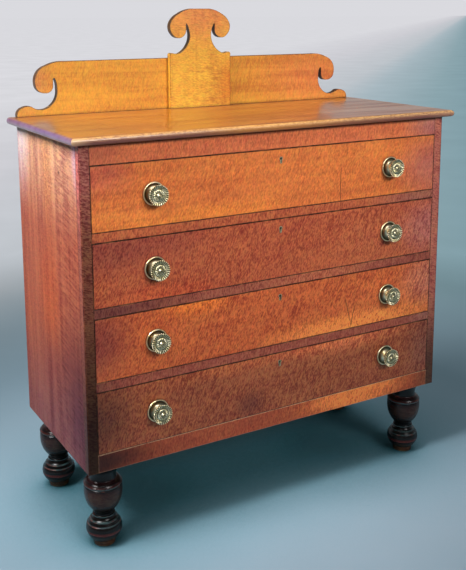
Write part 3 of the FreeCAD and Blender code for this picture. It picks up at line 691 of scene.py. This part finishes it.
# %% Washes on the front plane
# In millimetres: where the plane is, how deep a wash goes, and a reach past any board
front_depth, wash_depth, everywhere = -210, 60, 5000


def on_front(code, amount, x, z, reach_x, reach_z):
    """A wash whose middle lies on the front plane."""
    return code, amount, (x, front_depth, z), (reach_x, wash_depth, reach_z)


print("front plane in mm:", round(front_y / mm, 1), "washes at", front_depth)

# %% Finish the drawer fronts
front_tones = {"top": "#E07A3D", "second": "#B95B3A", "third": "#CE6639", "bottom": "#A95B3B"}
front_washes = {
    # colour, amount, middle in x and z, reach in x and z, in millimetres
    "top": [("#BC6758", 0.9, 520, 860, 190, 120), ("#F28B3B", 0.7, -230, 798, 340, 50),
            ("#C96147", 0.8, -490, 930, 120, 80)],
    "second": [("#9A4938", 0.9, -460, 750, 320, 90), ("#D05C36", 0.7, -330, 622, 190, 50),
               ("#BF6440", 0.9, 340, 680, 230, 130), ("#B7675D", 0.9, 520, 690, 170, 120)],
    "third": [("#8F4237", 0.9, -520, 530, 150, 140), ("#F68238", 0.9, -250, 585, 130, 45),
              ("#DA703F", 0.8, 350, 530, 220, 120), ("#FF934A", 0.9, 250, 448, 360, 50),
              ("#CE7C62", 0.8, 520, 540, 150, 110)],
    "bottom": [("#5E3225", 0.9, -530, 340, 170, 150), ("#E37B4E", 0.9, 210, 412, 300, 50),
               ("#C96B40", 0.7, -130, 412, 340, 45), ("#8E5343", 0.9, 520, 330, 130, 140),
               ("#763C31", 0.7, -90, 292, 60, 50)],
}
# place, lean in radians and length of each crack
front_cracks = {"top": [((190, front_depth, 832), 0.03, 90)],
                "third": [((222, front_depth, 490), -0.25, 80), ((238, front_depth, 470), 0.2, 60)]}
# how strong the curl and the flecks are
front_figure = {"top": (0.12, 1.05), "second": (0.3, 2.4), "third": (0.27, 1.95), "bottom": (0.32, 2.6)}
for index, name in enumerate(drawer_names):
    curl, flecked = front_figure[name]
    wood = figured_maple(name + "_drawer_maple", front_tones[name], 3.0 + index * 2.3,
                         curl=curl, flecked=flecked, cracks=front_cracks.get(name, ()),
                         washes=[on_front(*wash) for wash in front_washes[name]])
    dress(name + "_drawer_front", wood)
print("fronts:", ", ".join(front_tones))

# %% [markdown]
# ## Case, top and gallery
# The rails run across and the stiles and sides stand upright, so their grain does too. The
# boards of the top and the gallery kept a golden honey colour. The middle plaque stands
# upright, and its curl crosses it in level streaks. One material for the whole case would be
# less work, but no two boards of it came from one tree, and the eye sees that at once.

# %% Finish the rails
rail_tones = {"top_rail": "#DC7547", "upper_divider": "#BB5F3B", "middle_divider": "#A05542",
              "lower_divider": "#A45542", "bottom_rail": "#B15334"}
rail_washes = {
    "upper_divider": [("#A2614F", 0.9, 500, 780, 260, 60)],
    "middle_divider": [("#733C34", 0.9, -500, 604, 300, 60), ("#C16C4B", 0.9, 130, 604, 260, 60)],
    "lower_divider": [("#7D4236", 0.9, -540, 425, 140, 60), ("#9A6158", 0.7, 520, 430, 120, 60)],
    # The first on the top rail is a painted shadow of the top's nose, a dark band along its upper edge
    "top_rail": [("#4A2012", 0.9, 0, 1000, everywhere, 15), ("#B66F65", 0.9, 520, 975, 150, 60),
                 ("#BE5F45", 0.8, -510, 975, 110, 60)],
    "bottom_rail": [("#3E160C", 1.0, -530, 236, 260, 70), ("#FF8B47", 0.95, 250, 240, 260, 70),
                    ("#8C4F32", 0.9, 520, 236, 80, 60)],
}
# The arris of the bottom rail is rubbed bare, so a pale line runs under the lowest drawer
rail_lines = {"bottom_rail": (0.1, ("#F6C49A", 1.0, 0.3))}
rail_figure = {"top_rail": (0.08, 1.05), "bottom_rail": (0.2, 1.5)}
for index, (name, tone) in enumerate(rail_tones.items()):
    line, worn = rail_lines.get(name, (1.0, usual_wear))
    curl, flecked = rail_figure.get(name, (0.22, 2.0))
    wood = figured_maple(name + "_maple", tone, 21.0 + index, lean=12, eyes=0.3, curl=curl, flecked=flecked,
                         washes=[on_front(*wash) for wash in rail_washes[name]], line=line, worn=worn)
    dress(name, wood)
print("rails:", ", ".join(rail_tones))

# %% Finish the stiles
# The first two lie on the front, and the last one runs up the outer arris
left_stile_washes = [
    on_front("#A76256", 1.0, -520, 1010, 60, 270), on_front("#331F15", 1.0, -520, 230, 60, 500),
    ("#A75846", 0.9, (-534, -200, 600), (5, everywhere, everywhere))]
dress("left_stile", figured_maple(
    "left_stile_maple", "#7B4835", 31.0, upright=True, curl=0.4, flecked=2.4, blushed=0.9,
    washes=left_stile_washes, level=0.15, coat=0.0))
dress("right_stile", figured_maple(
    "right_stile_maple", "#B66755", 33.0, upright=True, curl=0.3, flecked=1.8, blushed=0.8,
    washes=[on_front("#543425", 1.0, 520, 195, 60, 370)]))
print("stiles dressed, the left one darker")

# %% Finish the sides
side_washes = [
    # colour, amount, middle in y and z, reach in y and z, in millimetres. The first is painted light and sheen
    # at the top, the fourth a painted sheen by the front edge, and the sixth painted shade low down. The last
    # two are knots
    ("#E0A482", 0.98, 20, 1030, 600, 300), ("#C88884", 0.7, 230, 990, 120, 260),
    ("#C8683A", 0.5, 12, 900, 60, 230), ("#B06878", 0.7, -205, 970, 55, 140),
    ("#C85A2E", 0.6, 20, 600, 110, 190), ("#8D5151", 0.95, 0, 190, 620, 350),
    ("#522532", 0.75, -210, 370, 230, 330), ("#9A4A3A", 0.5, -60, 420, 280, 200),
    ("#4A1818", 0.9, -77, 917, 10, 7), ("#6A2C22", 0.8, -75, 747, 8, 6)]
side_wood = figured_maple(
    "side_maple", "#B05B42", 41.0, upright=True, lean=9, curl=0.22, strokes=(190, 18), curly_from=0.04,
    eyes=0.0, flecked=1.05, streaked=1.2, gloss=0.5, level=0.12, coat=0.0,
    washes=[(code, amount, (0, y, z), (everywhere, reach_y, reach_z))
            for code, amount, y, z, reach_y, reach_z in side_washes])
for name in ("left_side", "right_side"):
    dress(name, side_wood)
print("washes on each side:", len(side_washes))

# %% Finish the top and the gallery
top_washes = [
    ("#A85820", 0.7, (150, 210, 1016), (330, 170, 60)), ("#8F5118", 0.7, (-530, 230, 1016), (220, 220, 60)),
    ("#83501A", 0.9, (-500, -60, 1016), (200, 300, 60)),
    ("#7C5068", 0.9, (-558, 0, 1007), (10, everywhere, everywhere))]
dress("top_board", figured_maple(
    "top_maple", "#A86314", 51.0, lean=8, curl=0.06, eyes=0.0, flecked=0.5, streaked=1.7, washes=top_washes,
    line=0.0, worn=("#F0CFA0", 0.9, 0.52), nose=0.75, dirt_and_shade_amount=0.4, gloss=0.34, level=0.8, coat=0.9))

gallery_washes = [
    ("#D77943", 0.9, (430, 200, 1090), (360, 90, 160)), ("#C58051", 0.9, (-530, 200, 1100), (130, 90, 110))]
# Its sawn edges are painted darker as painted shade, and so are the plaque's
dress("gallery_board", figured_maple(
    "gallery_maple", "#CB892F", 61.0, lean=10, curl=0.08, eyes=0.1, flecked=0.6, streaked=0.7, blushed=0.3,
    washes=gallery_washes, worn=("#F0BB84", 0.3, 0.52), sawn=(0.85, 1010), dirt_and_shade_amount=0.6))

plaque_washes = [
    ("#CF7D43", 0.9, (0, 195, 1290), (240, 90, 130)), ("#C56B22", 0.9, (115, 195, 1080), (80, 90, 120))]
dress("gallery_plaque", figured_maple(
    "plaque_maple", "#D59A36", 71.0, upright=True, lean=6, curl=0.16, eyes=0.08, flecked=0.7,
    washes=plaque_washes, worn=("#F8C8A1", 0.6, 0.52), sawn=(0.85, 1172), dirt_and_shade_amount=0.6))
print("top and gallery dressed, in honey maple")

# %% [markdown]
# ## Turned feet
# The feet were stained nearly black and have been bumped by two hundred years of brooms. The stain wears through
# to red brown on the cups and rings, and the ends that stand on the floor are scuffed to bare brown. The
# sharpest rings are polished, and the teal-grey rings in the table are painted reflections of the floor in them.
# A lathe makes everything on a foot depend on its height alone, so a table from the floor up gives all of that.

# %% Finish the feet
foot_tones_and_reflections = [
    # height in millimetres and tone; the teal-grey ones are painted reflections of the floor
    (0, "#A88F72"), (4, "#69462F"), (14, "#573320"), (24, "#392216"), (31, "#130907"), (33, "#0E0604"),
    (35, "#652D2A"), (40, "#50201C"), (44, "#0E0B09"), (55, "#131111"), (56.5, "#3F5457"), (58.5, "#090706"),
    (64, "#0C0B0B"), (65.5, "#3F5457"), (67.5, "#080604"), (75, "#0E0909"), (77, "#485F63"), (79, "#060303"),
    (92, "#080403"), (100, "#1A100C"), (118, "#3C241A"), (142, "#3A221A"), (152, "#220E0C"), (155.5, "#060302"),
    (158.5, "#5F787C"), (161, "#401E1C"), (167, "#0E0909"), (172, "#351E20"), (175, "#080604"), (204, "#080403"),
    (209, "#405256"), (214, "#040202")]
foot_wood = figured_maple(
    "stained_maple", "#1A100D", 81.0, upright=True, lean=6, eyes=0.1, bands=foot_tones_and_reflections, line=0.3,
    worn=("#7C3A2E", 0.8, 0.52), gloss=0.22, level=0.3, coat=0.0)
for name in ("front_left_foot", "front_right_foot", "back_left_foot", "back_right_foot"):
    dress(name, foot_wood)
print("bands on each foot:", len(foot_tones_and_reflections))

# %% [markdown]
# ## Pine for what doesn't show
# Drawer sides, bottoms and backs were made of pine, left bare. Its growth rings are easy to
# see: soft pale wood, then a thin dark line, every few millimetres. Stripes would do for one
# face, but rings drawn round a line outside the board agree on all its faces, as they do in a
# board sawn from a trunk.


# %% The pine itself
def bare_pine(name, tones, seed):
    """Aged pine, sawn and planed but not varnished."""
    dark, middle, light = tones
    m = fresh(name)
    where = add(m, "ShaderNodeTexCoord")
    grain = add(m, "ShaderNodeMapping",
                {"Rotation": (0.03, 0.02, 0.03), "Location": (seed, 0.11, -0.17)},
                {"Vector": where.outputs["Object"]})
    rings = add(m, "ShaderNodeTexWave",
                {"wave_type": "RINGS", "rings_direction": "X", "wave_profile": "SAW", "Scale": 70.0,
                 "Distortion": 3.0, "Detail": 2.0, "Detail Scale": 0.4},
                {"Vector": grain.outputs["Vector"]})
    body = add(m, "ShaderNodeValToRGB", {"stops": [(0.0, light), (0.7, middle), (1.0, dark)]},
               {"Fac": rings.outputs["Fac"]})
    # Fibres about 125 mm long and 4 mm wide
    fibres = add(m, "ShaderNodeMapping", {"Scale": (8, 260, 260)}, {"Vector": grain.outputs["Vector"]})
    fine = add(m, "ShaderNodeTexNoise", {"Scale": 1.0, "Detail": 3}, {"Vector": fibres.outputs["Vector"]})
    tint = add(m, "ShaderNodeMapRange", {"To Min": 0.8, "To Max": 1.15}, {"Value": fine.outputs["Fac"]})
    toned = add(m, "ShaderNodeVectorMath", {"operation": "SCALE"},
                {0: body.outputs["Color"], "Scale": tint.outputs["Result"]})
    # Dirt, and painted shade in the drawer's inner corners, found by occlusion
    dirtied_and_shaded = with_dirt_and_painted_shade(m, toned.outputs["Vector"], "#24160E", 14 * mm, 0.6)
    normal = worn_normal(m, fine.outputs["Fac"], 0.12 * mm)
    face = add(m, "ShaderNodeBsdfPrincipled", {"Roughness": 0.72, "IOR": varnish_ior},
               {"Base Color": dirtied_and_shaded, "Normal": normal})
    add(m, "ShaderNodeOutputMaterial", None, {"Surface": face.outputs["BSDF"]})
    return m


pine = bare_pine("drawer_pine", ("#8C5C34", "#BE9060", "#CFA474"), 5.0)
old_pine = bare_pine("back_pine", ("#4E3626", "#80604A", "#947460"), 9.0)
for name in drawer_names:
    for part in ("left_side", "right_side", "back", "bottom"):
        dress(name + "_drawer_" + part, pine)
for name in ("drawer_runners", "drawer_guides", "drawer_kickers", "drawer_stops", "foot_blocks",
             "gallery_dowels"):
    dress(name, pine)
for name in ("back_boards", "back_rail"):
    dress(name, old_pine)
print("pine:", pine.name, "and", old_pine.name)

# %% [markdown]
# ## Brass and iron
# The knobs, their plates and the keyhole rims are thin brass, stamped in a die and lacquered. Old lacquer leaves
# them a pale, slightly green gold, with dark dirt where polish can't reach. The same dark is painted shade in
# the hollows, round the necks and under the rosettes' rims. The locks are black iron with a little rust.
# Occlusion alone finds hollows too softly for such small work, so the stamped pieces carry the depth of each
# hollow as an attribute, and the dirt and painted shade follow that as well. A keyhole's rim is thin and gets
# less of both.


# %% Metals
def metal(name, tones, rough, dirt_and_shade, reach, amount):
    """A worked metal with a mottled polish, darkened in its hollows with grit and painted shade."""
    dark, light = tones
    m = fresh(name)
    where = add(m, "ShaderNodeTexCoord")
    # Mottle about 8 mm across
    mottle = add(m, "ShaderNodeTexNoise", {"Scale": 120.0, "Detail": 4}, {"Vector": where.outputs["Object"]})
    body = add(m, "ShaderNodeValToRGB", {"stops": [(0.35, dark), (0.65, light)]},
               {"Fac": mottle.outputs["Fac"]})
    # A piece without this attribute reads as 0, so it has no stamped hollows
    stamped = add(m, "ShaderNodeAttribute", {"attribute_name": "hollow"})
    # The stamped hollows are darkened, as dirt and as painted shade
    creased = add(m, "ShaderNodeMix", {"data_type": "RGBA", 7: linear(dirt_and_shade)},
                  {0: stamped.outputs["Fac"], 6: body.outputs["Color"]})
    # Dirt and painted shade where pieces meet, found by occlusion
    dirtied_and_shaded = with_dirt_and_painted_shade(m, creased.outputs[2], dirt_and_shade, reach, amount)
    polish = add(m, "ShaderNodeMapRange", {"To Min": rough - 0.08, "To Max": rough + 0.14},
                 {"Value": mottle.outputs["Fac"]})
    normal = add(m, "ShaderNodeBump", {"Strength": 0.4, "Distance": 0.03 * mm},
                 {"Height": mottle.outputs["Fac"]})
    face = add(m, "ShaderNodeBsdfPrincipled", {"Metallic": 1.0},
               {"Base Color": dirtied_and_shaded, "Roughness": polish.outputs["Result"],
                "Normal": normal.outputs["Normal"]})
    add(m, "ShaderNodeOutputMaterial", None, {"Surface": face.outputs["BSDF"]})
    return m


brass_tones, brass_dirt_and_shade = ("#F2E0A8", "#FFF6D4"), "#2A2412"
brass = metal("lacquered_brass", brass_tones, 0.3, brass_dirt_and_shade, 4 * mm, 0.85)
keyhole_brass = metal("keyhole_brass", brass_tones, 0.4, brass_dirt_and_shade, 1 * mm, 0.2)
iron = metal("black_iron", ("#2A2624", "#4A4440"), 0.5, "#1A0E08", 4 * mm, 0.6)
for name in drawer_names:
    dress(name + "_drawer_escutcheon", keyhole_brass)
    dress(name + "_drawer_lock", iron)
print("metals:", brass.name, keyhole_brass.name, iron.name)

# %% [markdown]
# ## Rosette knobs
# Each knob is a stamped brass rosette on a hollow neck: a scalloped rim, a ring of twenty-eight ribs, a bead, a
# ring of petals and a round boss with a dimple. The plate behind it has a round rim, a hollow that holds dirt
# and painted shade, and a cup that the neck stands in. Both outlines are turned about the knob's axis as on a
# lathe. Their tables also say how deep the ribs and petals are at each ring, and the turning lowers the surface
# between them. Sculpting would be freer, but a table keeps all eight knobs alike, as a die does.

# %% Rosette tables
knob_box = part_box("top_drawer_knobs")
knob_tip = knob_box[0].y
knob_reach = front_y - knob_tip
knob_radius = (knob_box[1].z - knob_box[0].z) / 2
plate_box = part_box("top_drawer_knob_plates")
plate_reach = front_y - plate_box[0].y
plate_radius = (plate_box[1].z - plate_box[0].z) / 2
rib_count, petal_count = 28, 14
steps_per_rib = 8

# Share of the radius, share of the reach, depth of the ribs and of the petals in millimetres, how far the ribs
# notch the outline in millimetres, and the dirt and painted shade, from the neck to the boss
rosette_outline = [
    (0.285, 0.20, 0, 0, 0, 0), (0.260, 0.28, 0, 0, 0, 0), (0.246, 0.38, 0, 0, 0, 0), (0.262, 0.47, 0, 0, 0, 0),
    (0.310, 0.54, 0, 0, 0, 0), (0.430, 0.61, 0, 0, 0, 0), (0.600, 0.67, 0, 0, 0, 0), (0.780, 0.71, 0, 0, 0, 0),
    (0.900, 0.735, 0, 0, 0.3, 0), (0.965, 0.760, 0, 0, 1.0, 0), (0.995, 0.795, 0.3, 0, 1.5, 0),
    (1.000, 0.830, 0.8, 0, 1.6, 0), (0.985, 0.862, 1.4, 0, 1.3, 0), (0.950, 0.880, 1.8, 0, 0.5, 0),
    (0.905, 0.874, 1.9, 0, 0, 0), (0.850, 0.858, 1.9, 0, 0, 0), (0.790, 0.840, 1.8, 0, 0, 0),
    (0.730, 0.822, 1.6, 0, 0, 0), (0.675, 0.806, 1.2, 0, 0, 0.2), (0.625, 0.794, 0.6, 0, 0, 0.6),
    (0.590, 0.788, 0, 0, 0, 1), (0.565, 0.790, 0, 0, 0, 1), (0.545, 0.815, 0, 0, 0, 0.2),
    (0.520, 0.838, 0, 0, 0, 0), (0.490, 0.846, 0, 0.5, 0, 0.1), (0.430, 0.860, 0, 1.4, 0, 0.3),
    (0.370, 0.872, 0, 1.6, 0, 0.25), (0.315, 0.866, 0, 1.3, 0, 0.4), (0.275, 0.848, 0, 0.5, 0, 0.7),
    (0.250, 0.838, 0, 0, 0, 1), (0.225, 0.845, 0, 0, 0, 0.5), (0.200, 0.870, 0, 0, 0, 0),
    (0.165, 0.905, 0, 0, 0, 0.3), (0.140, 0.950, 0, 0, 0, 0.7), (0.115, 0.985, 0, 0, 0, 0.6),
    (0.090, 1.000, 0, 0, 0, 0.45), (0.065, 0.990, 0, 0, 0, 0.7), (0.040, 0.960, 0, 0, 0, 1),
]
plate_outline = [
    (1.000, 0.00, 0, 0, 0, 0), (1.000, 0.26, 0, 0, 0, 0), (0.985, 0.42, 0, 0, 0, 0), (0.955, 0.49, 0, 0, 0, 0),
    (0.925, 0.46, 0, 0, 0, 0.1), (0.900, 0.36, 0, 0, 0, 0.6), (0.870, 0.22, 0, 0, 0, 1),
    (0.820, 0.16, 0, 0, 0, 1), (0.700, 0.18, 0, 0, 0, 0.9), (0.580, 0.25, 0, 0, 0, 0.7),
    (0.490, 0.38, 0, 0, 0, 0.4), (0.430, 0.62, 0, 0, 0, 0.1), (0.360, 0.86, 0, 0, 0, 0),
    (0.285, 1.00, 0, 0, 0, 0),
]
neck_share = rosette_outline[2][1]
# Share of the reach at the bottom of the boss's dimple
boss_hollow = 0.935
# The depth in millimetres that holds all the dirt and painted shade there is, and how much that covers
deepest, dirt_and_shade_in_hollows = 1.6, 0.94
# Above 1, the ribs are broad and the creases between them narrow
crease_sharpness = 1.7
print("knob radius in mm:", round(knob_radius / mm, 1), "plate radius in mm:", round(plate_radius / mm, 1))


# %% Turn and stamp brass
def between_ribs(angle, count):
    """0 on the crest of a rib and 1 in the crease beside it."""
    return 1 - abs(math.cos(angle * count / 2)) ** crease_sharpness


def stamp(mesh, x, z, outline, radius, reach, middle_share):
    """Adds one stamped disk to the mesh, on an axis through x and z, closed at its back."""
    around = rib_count * steps_per_rib
    hollow = mesh.verts.layers.float.get("hollow") or mesh.verts.layers.float.new("hollow")
    rings = []
    for radius_share, reach_share, rib, petal, notch, dirt_and_shade in outline:
        ring = []
        for step in range(around):
            angle = 2 * math.pi * step / around
            crease = between_ribs(angle, rib_count)
            low = rib * crease + petal * between_ribs(angle, petal_count)
            out = radius_share * radius - notch * crease * mm
            y = front_y - reach_share * reach + low * mm
            point = mesh.verts.new((x + out * math.cos(angle), y, z + out * math.sin(angle)))
            # Dirt and painted shade darken the creases, the hollows and the boss
            point[hollow] = min(max(low / deepest, dirt_and_shade), 1.0) * dirt_and_shade_in_hollows
            ring.append(point)
        rings.append(ring)
    for inner, outer in zip(rings, rings[1:]):
        for step in range(around):
            after = (step + 1) % around
            mesh.faces.new((inner[step], outer[step], outer[after], inner[after]))
    middle = mesh.verts.new((x, front_y - middle_share * reach, z))
    middle[hollow] = dirt_and_shade_in_hollows
    last = rings[-1]
    for step in range(around):
        mesh.faces.new((last[step], middle, last[(step + 1) % around]))
    back = mesh.verts.new((x, front_y - outline[0][1] * reach, z))
    first = rings[0]
    for step in range(around):
        mesh.faces.new((first[(step + 1) % around], back, first[step]))


def finish_mesh(name, mesh, material, body, smooth=True):
    """Turns the working mesh into a piece that rides on a body."""
    bmesh.ops.recalc_face_normals(mesh, faces=mesh.faces)
    for face in mesh.faces:
        face.smooth = smooth
    data = bpy.data.meshes.new(name)
    mesh.to_mesh(data)
    mesh.free()
    data.materials.append(material)
    piece = bpy.data.objects.new(name, data)
    bpy.context.scene.collection.objects.link(piece)
    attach(piece, body)
    return piece


print("points round each ring:", rib_count * steps_per_rib)

# %% [markdown]
# ## Stems and nuts
# A stem runs from each rosette through the drawer front, and a square nut inside draws the
# knob tight. The nuts have filed corners, so their edges are cut back a little. A true helix
# would cost many faces for a thread that only shows with a drawer open, so shallow rings
# stand for it.

# %% Sizes of the stems and nuts
nut_half, nut_thickness = 7.5 * mm, 6 * mm
stem_radius, thread_depth, thread_pitch = 3.5 * mm, 0.35 * mm, 1.0 * mm
stem_sides = 16
inner_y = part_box("top_drawer_front")[1].y
stem_end = knob_box[1].y
corner_cut = 0.9 * mm
print("stem inside the drawer in mm:", round((stem_end - inner_y) / mm, 1))


# %% Stem and nut
def square_nut(mesh, x, z):
    """A square nut with sharp edges against the inside of the drawer front. Gives its corners."""
    made = bmesh.ops.create_cube(mesh, size=1)["verts"]
    size = (2 * nut_half, nut_thickness, 2 * nut_half)
    for vert in made:
        vert.co = Vector((x, inner_y + nut_thickness / 2, z)) + Vector(a * b for a, b in zip(vert.co, size))
    return made


def file_edges(mesh, corners):
    """Cuts back the edges that meet at the corners. It comes last, so every run orders the faces alike."""
    edges = list(dict.fromkeys(edge for vert in corners for edge in vert.link_edges))
    bmesh.ops.bevel(mesh, geom=edges, offset=corner_cut, segments=2, affect="EDGES")


def stem(mesh, x, z):
    """A threaded rod from the rosette's neck to the end behind the nut."""
    start = front_y - neck_share * knob_reach
    count = int((stem_end - start) / (thread_pitch / 2))
    rings = []
    for step in range(count + 1):
        radius = stem_radius - (thread_depth if step % 2 else 0)
        y = start + step * (stem_end - start) / count
        rings.append([mesh.verts.new((x + radius * math.cos(a), y, z + radius * math.sin(a)))
                      for a in (2 * math.pi * k / stem_sides for k in range(stem_sides))])
    for near, far in zip(rings, rings[1:]):
        for k in range(stem_sides):
            after = (k + 1) % stem_sides
            mesh.faces.new((near[k], near[after], far[after], far[k]))
    mesh.faces.new(rings[0])
    mesh.faces.new(rings[-1])


print("nut in mm:", round(2 * nut_half / mm, 1), "square and", round(nut_thickness / mm, 1), "darkness")

# %% [markdown]
# ## The knobs of all four drawers
# All the knobs are alike, and only their places differ, so one loop reads the places from the
# CAD parts and makes three pieces for each drawer. They replace the plain CAD knobs and plates
# and ride on the drawer, so they come along when it slides out.

# %% Make the knobs
for name in drawer_names:
    low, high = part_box(name + "_drawer_knobs")
    z = (low.z + high.z) / 2
    x_end = high.x - knob_radius
    work = bmesh.new()
    for x in (-x_end, x_end):
        stamp(work, x, z, rosette_outline, knob_radius, knob_reach, boss_hollow)
    heads = finish_mesh(name + "_drawer_rosettes", work, brass, name + "_drawer")
    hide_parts(name + "_drawer_knobs")
    work = bmesh.new()
    for x in (-x_end, x_end):
        stamp(work, x, z, plate_outline, plate_radius, plate_reach, plate_outline[-1][1])
    plates = finish_mesh(name + "_drawer_plates", work, brass, name + "_drawer")
    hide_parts(name + "_drawer_knob_plates")
    work = bmesh.new()
    nut_corners = []
    for x in (-x_end, x_end):
        stem(work, x, z)
        nut_corners += square_nut(work, x, z)
    file_edges(work, nut_corners)
    fixings = finish_mesh(name + "_drawer_nuts", work, brass, name + "_drawer", smooth=False)
    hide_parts(name + "_drawer_knobs")
    print(name, "knobs:", len(heads.data.vertices), "points")

# %% [markdown]
# ## Write down the size and finish
# The size of the visual model is written down. The visual model has to stay inside the CAD model's box.
# View transform Standard shows a colour as it is written.

# %% Write the sizes and finish
bpy.context.scene.view_settings.view_transform = "Standard"
bpy.context.view_layer.update()
low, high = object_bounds()
print("visual box in metres:", tuple(round(v, 3) for v in high - low))
